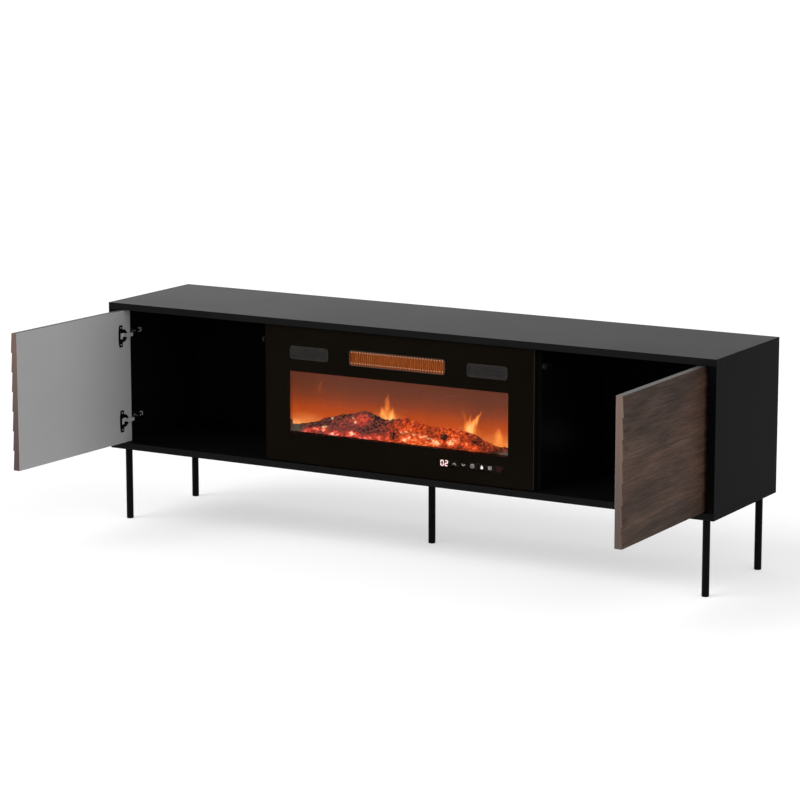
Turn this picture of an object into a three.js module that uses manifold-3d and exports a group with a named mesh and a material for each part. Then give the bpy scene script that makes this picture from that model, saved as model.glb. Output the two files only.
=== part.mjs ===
// Low media cabinet on five round legs, with an electric fireplace insert in the middle bay
// and one hinged door in front of each outer bay. Millimetres, +Z up, the front faces -Y.
// The origin lies on the floor, under the middle leg. Both doors stand open.

import * as THREE from 'three';
import { mergeVertices } from 'three/addons/utils/BufferGeometryUtils.js';
import Module from 'manifold-3d';

const wasm = await Module();
wasm.setup();

// Clearances shared by all pieces
const seatGap = 0.3;
const runningGap = 0.9;
const overrun = 5;
const mergeDistance = 0.0001;

// Carcass
const cabinetWidth = 1800;
const cabinetDepth = 383;
const bodyHeight = 402;
const legHeight = 200;
const boardThickness = 18;
const insertBayWidth = 786;
const doorThickness = 20.5;
const doorBackGap = 1.5;
const backThickness = 3;
const backRebate = 9;
const backEdgeGap = 1;
const cableHoleRadius = 30;
const cableHoleHeight = 70;
const cableHoleInset = 157.5;
const airCutWidth = 560;
const airCutHeight = 240;
const airCutCorner = 30;

const halfWidth = cabinetWidth / 2;
const frontY = -cabinetDepth / 2;
const rearY = cabinetDepth / 2;
const bodyBottom = legHeight;
const bodyTop = bodyBottom + bodyHeight;
const bayBottom = bodyBottom + boardThickness;
const bayTop = bodyTop - boardThickness;
const sideInnerX = halfWidth - boardThickness;
const partitionInnerX = insertBayWidth / 2;
const partitionOuterX = partitionInnerX + boardThickness;
const partitionSetback = doorThickness + doorBackGap;
const partitionFrontY = frontY + partitionSetback;
const backFrontY = rearY - backThickness;

// Legs and glides
const legRadius = 9.5;
const legWall = 1.5;
const legInsetX = 34.5;
const legInsetFront = 35;
const legInsetRear = 27;
const legPlateRadius = 24;
const legPlateThickness = 2;
const glideThickness = 3;
const glidePlugLength = 14;
const legSides = 24;

// Glass front of the insert
const glassSideOverlap = 5.4;
const glassThickness = 4;
const glassSetback = 6;
const glassBottomGap = 2.5;
const glassTopGap = 2;
const glassCorner = 2;

const glassWidth = insertBayWidth + 2 * glassSideOverlap;
const glassFrontY = frontY + glassSetback;
const glassBackY = glassFrontY + glassThickness;
const glassBottom = bayBottom + glassBottomGap;
const glassTop = bayTop - glassTopGap;

// Openings in the glass and in the frame behind it: a rise is measured up from the floor of the
// bay, a drop down from its ceiling
const windowSide = 72.4;
const windowRise = 82.5;
const windowHead = 16;
const outletHeight = 41;
const outletDrop = 70;
const outletCorner = 8;
const ventWidth = 118;
const ventHeight = 36;
const ventInset = 2;
const ventOutletGap = 63;
const displayWidth = 204;
const displayHeight = 26;
const displayInset = 6;
const displayRise = 47;
const shelfBelowOutlet = 34;
const shelfThickness = 1.2;
const cornerSegments = 4;

const windowWidth = glassWidth - 2 * windowSide;
const ventCentreX = windowWidth / 2 - ventInset - ventWidth / 2;
const outletWidth = 2 * (ventCentreX - ventWidth / 2 - ventOutletGap);
const outletZ = bayTop - outletDrop;
const displayCentreX = windowWidth / 2 - displayInset - displayWidth / 2;
const displayZ = bayBottom + displayRise;
const shelfBottom = outletZ - shelfBelowOutlet;
const shelfTop = shelfBottom + shelfThickness;
const windowBottom = bayBottom + windowRise;
const windowTop = shelfBottom - windowHead;

// Frame and casing of the insert
const frameInset = 2;
const casingWall = 1.2;
const casingSideGap = 7;
const casingTopGap = 8;
const casingDepth = 138;
const coverThickness = 1.2;
const coverSlotWidth = 90;
const coverSlotHeight = 5;
const coverSlotPitch = 12;
const coverSlotCount = 5;

const frameBackY = partitionFrontY - seatGap;
const casingHalfWidth = partitionInnerX - casingSideGap;
const casingInnerX = casingHalfWidth - casingWall;
const casingTop = bayTop - casingTopGap;
const casingBackY = frameBackY + casingDepth;

// Outlet, heater and vents
const outletRim = 6;
const outletProud = 0.8;
const outletDepth = 20;
const heaterDepth = 18;
const heaterFinPitch = 8;
const heaterFinGroove = 3;
const heaterGrooveDepth = 6;
const ventRim = 6;
const ventSlotCount = 4;
const ventSlatHeight = 2.6;

// Blower
const blowerMargin = 5;
const blowerDepth = 70;
const blowerWall = 1.5;
const blowerMouthHeight = 32;
const wheelRadius = 26;
const wheelGap = 5;
const wheelDiscThickness = 2;
const wheelEndGap = 6;
const wheelBladeCount = 12;
const wheelBladeWidth = 9;
const wheelBladeThickness = 1;
const shaftRadius = 3;
const shaftSides = 12;
const motorRadius = 22;
const motorLength = 38;
const motorSocket = 9;
const roundSides = 24;

const blowerLength = outletWidth + 2 * blowerMargin;
const blowerHeight = 2 * (wheelRadius + wheelGap + blowerWall);

// Flame chamber: screen, bed, logs, lamps and spindle
const screenThickness = 3;
const chamberDepth = 70;
const bedRise = 74;
const bedFrontHeight = 8;
const bedCrestHeight = 79;
const bedCrestShare = 0.55;
const bedRearShare = 0.45;
const bedColumns = 48;
const bedRows = 9;
const bedCoalHeight = 3;
const bedCoalPitchX = 42;
const bedCoalPitchY = 23;
const bedRidgeShares = [0.13, 0.25, 0.46, 0.68, 0.86, 0.71, 0.855, 0.645, 0.66, 0.5, 0.2, 0.16, 0.14];
const logSides = 10;
const logRadiusShares = [0.72, 0.94, 1, 0.9, 0.97, 0.86, 0.68];
const leftLogRadius = 14;
const leftLogLength = 200;
const leftLogShare = -0.533;
const leftLogLift = -7.3;
const leftLogTilt = 16;
const rightLogRadius = 12;
const rightLogLength = 130;
const rightLogShare = 0.463;
const rightLogLift = -5.3;
const rightLogTilt = -13;
const lampBoardThickness = 1.6;
const lampBoardWidth = 30;
const lampBoardEndGap = 24.8;
const spindleRise = 82;
const spindleMotorRadius = 17;
const spindleMotorGap = 3;
const spindleMotorLength = 30;
const paddleRadius = 14;
const paddleThickness = 0.8;
const paddleLength = 62;
const paddleCount = 9;
const paddleTurn = 40;

const lampBoardLength = 2 * (casingInnerX - lampBoardEndGap);

// Control board, power inlet and fixing brackets
const controlThickness = 3;
const inletWidth = 30;
const inletHeight = 24;
const inletDepth = 15;
const inletWall = 3;
const inletRecess = 10;
const inletInset = 51;
const inletRise = 40;
const bracketThickness = 1.5;
const bracketFlange = 30;
const bracketHeight = 40;
const bracketSetback = 45;
const bracketRise = 172;

const inletX = casingHalfWidth - inletInset - inletWidth / 2;

// Doors, and their pivots measured from the hinge edge and the outer face of the closed door
const doorEndGap = 1.5;
const doorGlassGap = 3.6;
const fieldCount = 7;
const fieldStep = 3.3;
const rightOpenAngle = 90;
const leftOpenAngle = 92.5;
const pivotFromEdge = 18;
const pivotFromFace = 10;
const swingGap = 0.16;

const pivotDepth = doorThickness - pivotFromFace;
const swingReach = Math.hypot(pivotFromEdge, Math.max(pivotFromFace, pivotDepth));
const doorHingeGap = swingReach - pivotFromEdge + swingGap;
const doorHingeX = sideInnerX - doorHingeGap;
const doorFreeX = glassWidth / 2 + doorGlassGap;
const doorBottom = bayBottom + doorEndGap;
const doorTop = bayTop - doorEndGap;

// Hinges
const upperHingeInset = 68.5;
const lowerHingeInset = 60.5;
const cupRadius = 17.5;
const cupWall = 1;
const cupFloor = 0.8;
const cupSides = 32;
const wingHeight = 60;
const wingThickness = 1.2;
const wingFar = 21;
const wingWaistShare = 0.55;
const wingShoulderShare = 0.45;
const damperFar = 14;
const damperHalfHeight = 8;
const damperProud = 0.6;
const pinRadius = 1.4;
const pinGap = 0.15;
const eyeWall = 0.75;
const eyeWidth = 10;
const eyeSideGap = 0.42;
const armFaceGap = 1.25;
const armCupGap = 1.75;
const armThickness = 2.5;
const armWidth = 16;
const armEnd = 118;
const plateThickness = 5;
const plateStart = 45;
const plateEnd = 122;
const plateSpineWidth = 18;
const plateWingStart = 49;
const plateWingLength = 16;
const plateWingSpan = 52;

const pivotX = doorHingeX - pivotFromEdge;
const pivotY = frontY + pivotFromFace;
const upperHingeZ = doorTop - upperHingeInset;
const lowerHingeZ = doorBottom + lowerHingeInset;
const eyeRadius = pinRadius + pinGap + eyeWall;
const cupOffset = Math.sqrt((cupRadius - cupWall) ** 2 - (eyeWidth / 2) ** 2) - eyeRadius - eyeSideGap;
const cupBoreDepth = pivotDepth + eyeRadius + cupFloor + 2 * seatGap;
const armReach = pivotDepth + seatGap + wingThickness + armFaceGap + armThickness / 2;
const wingNear = armReach + armThickness / 2 + armCupGap - cupOffset;

// Push latches on the outer faces of the partitions
const latchWidth = 12;
const latchHeight = 16;
const latchLength = 34;
const latchInset = 3;
const latchDrop = 46;
const latchEndWall = 4;
const plungerRadius = 3.7;
const plungerLength = 26;
const plungerChamfer = 1;
const plungerDoorGap = 0.5;

const latchSetback = partitionSetback + latchInset;
const latchBoreDepth = latchLength - latchEndWall;

// Finishes
const finishes = {
  blackBoard: { color: 0x17171a, roughness: 0.55, metalness: 0 },
  backBoard: { color: 0x141416, roughness: 0.8, metalness: 0 },
  doorWood: { color: 0x5a453b, roughness: 0.6, metalness: 0 },
  blackSteel: { color: 0x121214, roughness: 0.45, metalness: 0.4 },
  nickel: { color: 0xb9bcc0, roughness: 0.28, metalness: 1 },
  glass: { color: 0x0b0908, roughness: 0.05, metalness: 0, transparent: true, opacity: 0.35 },
  casingSteel: { color: 0x2a2a2c, roughness: 0.5, metalness: 0.7 },
  galvanised: { color: 0x8d9194, roughness: 0.4, metalness: 0.8 },
  ember: { color: 0xb8431c, roughness: 0.7, metalness: 0 },
  log: { color: 0x3c2018, roughness: 0.85, metalness: 0 },
  flame: { color: 0xc8602c, roughness: 0.6, metalness: 0 },
  copper: { color: 0xc0713f, roughness: 0.4, metalness: 0.8 },
  greyPlastic: { color: 0x4b4b4e, roughness: 0.5, metalness: 0 },
  darkPlastic: { color: 0x1c1c1e, roughness: 0.6, metalness: 0 },
  circuit: { color: 0x14301f, roughness: 0.5, metalness: 0 },
  foil: { color: 0xc9c9c6, roughness: 0.2, metalness: 1 },
};

// Solids: joining and cutting closed meshes
function solidOf(geometry) {
  const bare = geometry.clone();
  for (const name of Object.keys(bare.attributes)) {
    if (name !== 'position') bare.deleteAttribute(name);
  }
  const merged = mergeVertices(bare, mergeDistance);
  const mesh = new wasm.Mesh({
    numProp: 3,
    vertProperties: new Float32Array(merged.attributes.position.array),
    triVerts: new Uint32Array(merged.index.array),
  });
  return new wasm.Manifold(mesh);
}

function geometryOf(solid) {
  const mesh = solid.getMesh();
  const geometry = new THREE.BufferGeometry();
  const positions = new Float32Array(mesh.vertProperties);
  geometry.setAttribute('position', new THREE.BufferAttribute(positions, mesh.numProp));
  geometry.setIndex(new THREE.BufferAttribute(new Uint32Array(mesh.triVerts), 1));
  geometry.computeVertexNormals();
  return geometry;
}

function cut(body, ...tools) {
  return geometryOf(tools.reduce((rest, tool) => rest.subtract(solidOf(tool)), solidOf(body)));
}

function join(...pieces) {
  const [first, ...others] = pieces;
  return geometryOf(others.reduce((whole, other) => whole.add(solidOf(other)), solidOf(first)));
}

// Shapes
function block(x0, x1, y0, y1, z0, z1) {
  const geometry = new THREE.BoxGeometry(x1 - x0, y1 - y0, z1 - z0);
  return geometry.translate((x0 + x1) / 2, (y0 + y1) / 2, (z0 + z1) / 2);
}

function outline(points) {
  return new THREE.Shape(points.map(([a, b]) => new THREE.Vector2(a, b)));
}

// A rounded rectangle around (a, b), as a shape or as a hole in one
function roundedRectangle(Kind, a, b, width, height, corner) {
  const right = a + width / 2 - corner;
  const left = a - width / 2 + corner;
  const top = b + height / 2 - corner;
  const bottom = b - height / 2 + corner;
  const quarter = Math.PI / 2;
  const path = new Kind();
  path.absarc(right, top, corner, 0, quarter);
  path.absarc(left, top, corner, quarter, 2 * quarter);
  path.absarc(left, bottom, corner, 2 * quarter, 3 * quarter);
  path.absarc(right, bottom, corner, 3 * quarter, 4 * quarter);
  path.closePath();
  return path;
}

function extrude(shape, length, segments = cornerSegments) {
  return new THREE.ExtrudeGeometry(shape, { depth: length, bevelEnabled: false, curveSegments: segments });
}

// An (x, y) outline stood up along Z
function prismZ(shape, z0, z1, segments) {
  return extrude(shape, z1 - z0, segments).translate(0, 0, z0);
}

// An (x, z) outline pushed back along Y
function prismY(shape, y0, y1, segments) {
  return extrude(shape, y1 - y0, segments).rotateX(Math.PI / 2).translate(0, y1, 0);
}

// A (y, z) outline drawn out along X
function prismX(shape, x0, x1, segments) {
  return extrude(shape, x1 - x0, segments).rotateY(Math.PI / 2).rotateX(Math.PI / 2).translate(x0, 0, 0);
}

function cylinderX(radius, x0, x1, y, z, sides = roundSides) {
  return new THREE.CylinderGeometry(radius, radius, x1 - x0, sides)
    .rotateZ(Math.PI / 2)
    .translate((x0 + x1) / 2, y, z);
}

function cylinderY(radius, y0, y1, x, z, sides = roundSides) {
  return new THREE.CylinderGeometry(radius, radius, y1 - y0, sides).translate(x, (y0 + y1) / 2, z);
}

function cylinderZ(radius, z0, z1, x, y, sides = roundSides) {
  return new THREE.CylinderGeometry(radius, radius, z1 - z0, sides)
    .rotateX(Math.PI / 2)
    .translate(x, y, (z0 + z1) / 2);
}

// The same piece on the other side of the cabinet, its faces turned back outwards
function mirrored(geometry) {
  const copy = mergeVertices(bareCopy(geometry)).scale(-1, 1, 1);
  const order = copy.index.array;
  for (let i = 0; i < order.length; i += 3) {
    [order[i + 1], order[i + 2]] = [order[i + 2], order[i + 1]];
  }
  copy.computeVertexNormals();
  return copy;
}

function bareCopy(geometry) {
  const bare = geometry.clone();
  bare.deleteAttribute('normal');
  bare.deleteAttribute('uv');
  return bare;
}

// A folded strip of even thickness: the outline that follows a path of (a, b) points
function stripOutline(path, thickness) {
  const half = thickness / 2;
  const points = path.map(([a, b]) => new THREE.Vector2(a, b));
  const near = [];
  const far = [];
  points.forEach((point, i) => {
    const before = points[Math.max(i - 1, 0)];
    const after = points[Math.min(i + 1, points.length - 1)];
    const into = point.clone().sub(before).normalize();
    const out = after.clone().sub(point).normalize();
    if (i === 0) into.copy(out);
    if (i === points.length - 1) out.copy(into);
    const normalIn = new THREE.Vector2(-into.y, into.x);
    const normalOut = new THREE.Vector2(-out.y, out.x);
    const mitre = normalIn.clone().add(normalOut).normalize();
    mitre.multiplyScalar(half / mitre.dot(normalIn));
    near.push(point.clone().add(mitre));
    far.unshift(point.clone().sub(mitre));
  });
  return new THREE.Shape([...near, ...far]);
}

function piece(name, geometry, finish) {
  const mesh = new THREE.Mesh(geometry, new THREE.MeshStandardMaterial(finishes[finish]));
  mesh.name = name;
  return mesh;
}

// Carcass
const rebateX = sideInnerX + backRebate;
const rebateBottom = bayBottom - backRebate;
const rebateTop = bayTop + backRebate;

function rearRebate() {
  return block(-rebateX, rebateX, backFrontY, rearY + overrun, rebateBottom, rebateTop);
}

function carcassBoards() {
  const top = block(-halfWidth, halfWidth, frontY, rearY, bayTop, bodyTop);
  const bottom = block(-halfWidth, halfWidth, frontY, rearY, bodyBottom, bayBottom);
  const side = cut(block(sideInnerX, halfWidth, frontY, rearY, bayBottom, bayTop), rearRebate());
  const partition = block(partitionInnerX, partitionOuterX, partitionFrontY, backFrontY, bayBottom, bayTop);
  return [
    piece('top_panel', cut(top, rearRebate()), 'blackBoard'),
    piece('bottom_panel', cut(bottom, rearRebate()), 'blackBoard'),
    piece('side_panel_right', side, 'blackBoard'),
    piece('side_panel_left', mirrored(side), 'blackBoard'),
    piece('partition_right', partition, 'blackBoard'),
    piece('partition_left', mirrored(partition), 'blackBoard'),
  ];
}

function backPanels() {
  const low = rebateBottom + backEdgeGap;
  const high = rebateTop - backEdgeGap;
  const seamX = (partitionInnerX + partitionOuterX) / 2;
  const outerX = rebateX - backEdgeGap;
  const innerX = seamX + backEdgeGap / 2;
  const sheet = outline([[innerX, low], [outerX, low], [outerX, high], [innerX, high]]);
  const hole = new THREE.Path();
  hole.absarc(innerX + cableHoleInset, bayBottom + cableHoleHeight, cableHoleRadius, 0, 2 * Math.PI);
  sheet.holes.push(hole);
  const outer = prismY(sheet, backFrontY, rearY, roundSides / 2);
  const middleX = seamX - backEdgeGap / 2;
  const middle = outline([[-middleX, low], [middleX, low], [middleX, high], [-middleX, high]]);
  const airZ = (bayBottom + bayTop) / 2;
  middle.holes.push(roundedRectangle(THREE.Path, 0, airZ, airCutWidth, airCutHeight, airCutCorner));
  return [
    piece('back_panel_right', outer, 'backBoard'),
    piece('back_panel_left', mirrored(outer), 'backBoard'),
    piece('back_panel_middle', prismY(middle, backFrontY, rearY), 'backBoard'),
  ];
}

// Legs: tube with a welded top plate, open below for the plug of its glide
function legGeometry() {
  const bore = legRadius - legWall;
  const profile = [
    [0, legHeight],
    [legPlateRadius, legHeight],
    [legPlateRadius, legHeight - legPlateThickness],
    [legRadius, legHeight - legPlateThickness],
    [legRadius, glideThickness],
    [bore, glideThickness],
    [bore, legHeight - legPlateThickness],
    [0, legHeight - legPlateThickness],
  ].reverse();
  return turned(profile, legSides);
}

function glideGeometry() {
  const plug = legRadius - legWall - seatGap;
  const profile = [
    [0, 0],
    [legRadius, 0],
    [legRadius, glideThickness],
    [plug, glideThickness],
    [plug, glideThickness + glidePlugLength],
    [0, glideThickness + glidePlugLength],
  ];
  return turned(profile, legSides);
}

// A lathe about Z from (radius, height) points that start and end on the axis, given upwards
function turned(profile, sides) {
  const points = profile.map(([radius, height]) => new THREE.Vector2(radius, height));
  return new THREE.LatheGeometry(points, sides).rotateX(Math.PI / 2);
}

function legs() {
  const x = halfWidth - legInsetX;
  const places = {
    front_left: [-x, frontY + legInsetFront],
    front_right: [x, frontY + legInsetFront],
    rear_left: [-x, rearY - legInsetRear],
    rear_right: [x, rearY - legInsetRear],
    middle: [0, 0],
  };
  return Object.entries(places).flatMap(([place, [legX, legY]]) => {
    const leg = piece(`leg_${place}`, legGeometry(), 'blackSteel');
    const glide = piece(`glide_${place}`, glideGeometry(), 'darkPlastic');
    leg.position.set(legX, legY, 0);
    glide.position.set(legX, legY, 0);
    return [leg, glide];
  });
}

// Doors, drawn closed in the cabinet's frame; the right one first
function doorGeometry() {
  const pitch = (doorTop - doorBottom) / fieldCount;
  const points = [[frontY + doorThickness, doorBottom]];
  for (let i = 0; i < fieldCount; i += 1) {
    points.push([frontY, doorBottom + i * pitch]);
    points.push([frontY + fieldStep, doorBottom + (i + 1) * pitch]);
  }
  points.push([frontY + doorThickness, doorTop]);
  const board = prismX(outline(points), doorFreeX, doorHingeX);
  const boreY = frontY + doorThickness - cupBoreDepth;
  const bores = [upperHingeZ, lowerHingeZ].map((z) => (
    cylinderY(cupRadius + seatGap, boreY, frontY + doorThickness + overrun, pivotX - cupOffset, z, cupSides)
  ));
  return cut(board, ...bores);
}

function hingeCupGeometry(z) {
  const x = pivotX - cupOffset;
  const innerFace = frontY + doorThickness;
  const floorY = innerFace - cupBoreDepth + seatGap;
  const flangeY = innerFace + seatGap;
  const flangeTop = flangeY + wingThickness;
  const bore = cupRadius - cupWall;
  const barrel = cylinderY(cupRadius, floorY, flangeTop, x, z, cupSides);
  const mouth = cylinderY(bore, floorY + cupFloor, flangeTop + overrun, x, z, cupSides);
  const waist = wingNear + (wingFar - wingNear) * wingWaistShare;
  const shoulder = wingHeight / 2 * wingShoulderShare;
  const wings = prismY(outline([
    [x - wingFar, z - shoulder],
    [x - wingFar, z + shoulder],
    [x - waist - wingNear, z + wingHeight / 2],
    [x - wingNear, z + wingHeight / 2],
    [x - wingNear, z - wingHeight / 2],
    [x - waist - wingNear, z - wingHeight / 2],
  ]), flangeY, flangeTop);
  const hookSide = block(
    x - wingNear, x + cupRadius + overrun, flangeY, flangeTop + overrun, z - cupRadius, z + cupRadius);
  const shell = cut(join(barrel, wings), mouth, hookSide);
  const half = Math.sqrt(cupRadius ** 2 - (cupOffset + pinRadius) ** 2);
  const pin = cylinderZ(pinRadius, z - half, z + half, pivotX, pivotY, shaftSides);
  const damper = block(
    x - damperFar, x - wingNear, floorY, flangeTop + damperProud,
    z - damperHalfHeight, z + damperHalfHeight);
  return join(shell, pin, damper);
}

function hingeArmGeometry(z) {
  const cornerRadius = Math.hypot(pivotFromEdge, pivotDepth);
  const bendY = pivotY + cornerRadius + runningGap + armThickness / 2;
  const seatX = sideInnerX - plateThickness - seatGap - armThickness / 2;
  const hook = [[pivotX, pivotY], [pivotX - armReach, pivotY], [pivotX - armReach, bendY]];
  const tail = [[seatX, bendY], [seatX, frontY + armEnd]];
  const neck = prismZ(stripOutline([...hook, ...tail], armThickness), z - eyeWidth / 2, z + eyeWidth / 2);
  const bridge = prismZ(stripOutline([hook[2], ...tail], armThickness), z - armWidth / 2, z + armWidth / 2);
  const eye = cylinderZ(eyeRadius, z - eyeWidth / 2, z + eyeWidth / 2, pivotX, pivotY);
  const hole = cylinderZ(pinRadius + pinGap, z - eyeWidth, z + eyeWidth, pivotX, pivotY, cupSides / 2);
  return cut(join(neck, bridge, eye), hole);
}

function hingePlateGeometry(z) {
  const start = frontY + plateStart;
  const end = frontY + plateEnd;
  const wingStart = frontY + plateWingStart;
  const wingEnd = wingStart + plateWingLength;
  const spine = plateSpineWidth / 2;
  const wing = plateWingSpan / 2;
  const half = [
    [start, spine], [wingStart, spine], [wingStart, wing],
    [wingEnd, wing], [wingEnd, spine], [end, spine],
  ];
  const shape = outline([
    ...half.map(([y, rise]) => [y, z + rise]),
    ...half.toReversed().map(([y, rise]) => [y, z - rise]),
  ]);
  return prismX(shape, sideInnerX - plateThickness, sideInnerX);
}

const hingeHeights = { upper: upperHingeZ, lower: lowerHingeZ };

function hungDoor(side) {
  const flip = side === 'right' ? (geometry) => geometry : mirrored;
  const sign = side === 'right' ? 1 : -1;
  const angle = side === 'right' ? rightOpenAngle : leftOpenAngle;
  const hung = [piece(`door_${side}`, flip(doorGeometry()), 'doorWood')];
  for (const [level, z] of Object.entries(hingeHeights)) {
    hung.push(piece(`hinge_cup_${side}_${level}`, flip(hingeCupGeometry(z)), 'blackSteel'));
  }
  const group = new THREE.Group();
  group.position.set(sign * pivotX, pivotY, 0);
  group.rotation.z = sign * THREE.MathUtils.degToRad(angle);
  for (const mesh of hung) {
    mesh.position.set(-sign * pivotX, -pivotY, 0);
    group.add(mesh);
  }
  return group;
}

function fixedHingeParts() {
  return Object.entries(hingeHeights).flatMap(([level, z]) => [
    piece(`hinge_arm_right_${level}`, hingeArmGeometry(z), 'nickel'),
    piece(`hinge_arm_left_${level}`, mirrored(hingeArmGeometry(z)), 'nickel'),
    piece(`hinge_plate_right_${level}`, hingePlateGeometry(z), 'nickel'),
    piece(`hinge_plate_left_${level}`, mirrored(hingePlateGeometry(z)), 'nickel'),
  ]);
}

// Push latches
function latches() {
  const z = bayTop - latchDrop;
  const housingY = frontY + latchSetback;
  const axisX = partitionOuterX + latchWidth / 2;
  const body = block(
    partitionOuterX, partitionOuterX + latchWidth,
    housingY, housingY + latchLength, z - latchHeight / 2, z + latchHeight / 2);
  const bore = cylinderY(
    plungerRadius + seatGap, housingY - overrun, housingY + latchBoreDepth, axisX, z, shaftSides);
  const housing = cut(body, bore);
  const nose = frontY + doorThickness + plungerDoorGap;
  const plunger = turned([
    [0, 0],
    [plungerRadius, 0],
    [plungerRadius, plungerLength - plungerChamfer],
    [plungerRadius - plungerChamfer, plungerLength],
    [0, plungerLength],
  ], shaftSides).rotateX(Math.PI / 2).translate(axisX, nose + plungerLength, z);
  return [
    piece('latch_housing_right', housing, 'greyPlastic'),
    piece('latch_housing_left', mirrored(housing), 'greyPlastic'),
    piece('latch_plunger_right', plunger, 'greyPlastic'),
    piece('latch_plunger_left', mirrored(plunger), 'greyPlastic'),
  ];
}

// Insert: glass, frame and casing
function faceSlots() {
  const slots = [
    [0, outletWidth, outletHeight],
    [ventCentreX, ventWidth, ventHeight],
    [-ventCentreX, ventWidth, ventHeight],
  ];
  return slots.map(([x, width, height]) => {
    const slot = roundedRectangle(THREE.Shape, x, outletZ, width, height, outletCorner);
    return prismY(slot, glassFrontY - overrun, frameBackY + overrun);
  });
}

function glassFront() {
  const centreZ = (glassBottom + glassTop) / 2;
  const sheet = roundedRectangle(THREE.Shape, 0, centreZ, glassWidth, glassTop - glassBottom, glassCorner);
  return piece('glass_front', cut(prismY(sheet, glassFrontY, glassBackY), ...faceSlots()), 'glass');
}

function frontFrame() {
  const x = glassWidth / 2 - frameInset;
  const low = glassBottom + frameInset;
  const high = glassTop - frameInset;
  const front = glassBackY - overrun;
  const recessY = glassBackY + controlThickness + seatGap;
  const frame = cut(
    block(-x, x, glassBackY, frameBackY, low, high),
    ...faceSlots(),
    block(-windowWidth / 2, windowWidth / 2, front, frameBackY + overrun, windowBottom, windowTop),
    block(
      displayCentreX - displayWidth / 2, displayCentreX + displayWidth / 2, front, recessY,
      displayZ - displayHeight / 2, displayZ + displayHeight / 2),
  );
  return piece('front_frame', frame, 'blackSteel');
}

const spindleY = frameBackY + chamberDepth + screenThickness + spindleMotorRadius + spindleMotorGap;
const spindleZ = bayBottom + spindleRise;

function insertCasing() {
  const sleeve = block(-casingHalfWidth, casingHalfWidth, frameBackY, casingBackY, bayBottom, casingTop);
  const hollow = block(
    -casingInnerX, casingInnerX, frameBackY - overrun, casingBackY + overrun,
    bayBottom + casingWall, casingTop - casingWall);
  const outside = -casingHalfWidth - overrun;
  const inside = -casingInnerX + overrun;
  const bearing = cylinderX(shaftRadius + seatGap, outside, inside, spindleY, spindleZ, shaftSides);
  const coverBackY = casingBackY + coverThickness;
  const cover = block(-casingHalfWidth, casingHalfWidth, casingBackY, coverBackY, bayBottom, casingTop);
  const slots = [];
  for (let i = 0; i < coverSlotCount; i += 1) {
    const z = outletZ + (i - (coverSlotCount - 1) / 2) * coverSlotPitch;
    for (const x of [-coverSlotWidth, coverSlotWidth]) {
      slots.push(block(
        x - coverSlotWidth / 2, x + coverSlotWidth / 2, casingBackY - overrun, coverBackY + overrun,
        z - coverSlotHeight / 2, z + coverSlotHeight / 2));
    }
  }
  const shelf = block(
    -casingInnerX + seatGap, casingInnerX - seatGap,
    frameBackY + seatGap, casingBackY - seatGap, shelfBottom, shelfTop);
  return [
    piece('insert_casing', cut(sleeve, hollow, bearing), 'casingSteel'),
    piece('insert_back_cover', cut(cover, ...slots), 'casingSteel'),
    piece('chamber_shelf', shelf, 'galvanised'),
  ];
}

function insertBrackets() {
  const y = frameBackY + bracketSetback;
  const middle = y + bracketFlange;
  const z = bayBottom + bracketRise;
  const shape = outline([
    [casingHalfWidth, y],
    [casingHalfWidth + bracketThickness, y],
    [casingHalfWidth + bracketThickness, middle - bracketThickness],
    [partitionInnerX, middle - bracketThickness],
    [partitionInnerX, middle + bracketFlange],
    [partitionInnerX - bracketThickness, middle + bracketFlange],
    [partitionInnerX - bracketThickness, middle],
    [casingHalfWidth, middle],
  ]);
  const bracket = prismZ(shape, z - bracketHeight / 2, z + bracketHeight / 2);
  return [
    piece('insert_bracket_right', bracket, 'galvanised'),
    piece('insert_bracket_left', mirrored(bracket), 'galvanised'),
  ];
}

// Insert: outlet, heater and vents
const outletBackY = glassFrontY - outletProud + outletDepth;
const heaterBackY = outletBackY + seatGap + heaterDepth;

function outletAndHeater() {
  const width = outletWidth - 2 * seatGap;
  const height = outletHeight - 2 * seatGap;
  const ring = roundedRectangle(THREE.Shape, 0, outletZ, width, height, outletCorner);
  ring.holes.push(roundedRectangle(
    THREE.Path, 0, outletZ, width - 2 * outletRim, height - 2 * outletRim, outletCorner - outletRim / 2));
  const front = outletBackY + seatGap;
  const fins = Math.floor((width - heaterFinGroove) / heaterFinPitch);
  const points = [[width / 2, heaterBackY], [-width / 2, heaterBackY], [-width / 2, front]];
  for (let i = 0; i < fins; i += 1) {
    const x = (i - (fins - 1) / 2) * heaterFinPitch;
    points.push([x - heaterFinGroove / 2, front]);
    points.push([x - heaterFinGroove / 2, front + heaterGrooveDepth]);
    points.push([x + heaterFinGroove / 2, front + heaterGrooveDepth]);
    points.push([x + heaterFinGroove / 2, front]);
  }
  points.push([width / 2, front]);
  return [
    piece('outlet_frame', prismY(ring, glassFrontY - outletProud, outletBackY), 'greyPlastic'),
    piece('heater_element', prismZ(outline(points), outletZ - height / 2, outletZ + height / 2), 'copper'),
  ];
}

function ventGrilles() {
  const width = ventWidth - 2 * seatGap;
  const height = ventHeight - 2 * seatGap;
  const front = glassFrontY - outletProud;
  const grille = prismY(
    roundedRectangle(THREE.Shape, ventCentreX, outletZ, width, height, outletCorner), front, frameBackY);
  const field = height - 2 * ventRim;
  const slot = (field - (ventSlotCount - 1) * ventSlatHeight) / ventSlotCount;
  const slots = [];
  for (let i = 0; i < ventSlotCount; i += 1) {
    const low = outletZ - field / 2 + i * (slot + ventSlatHeight);
    slots.push(block(
      ventCentreX - width / 2 + ventRim, ventCentreX + width / 2 - ventRim,
      front - overrun, frameBackY + overrun, low, low + slot));
  }
  const right = cut(grille, ...slots);
  return [
    piece('vent_grille_right', right, 'darkPlastic'),
    piece('vent_grille_left', mirrored(right), 'darkPlastic'),
  ];
}

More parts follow.
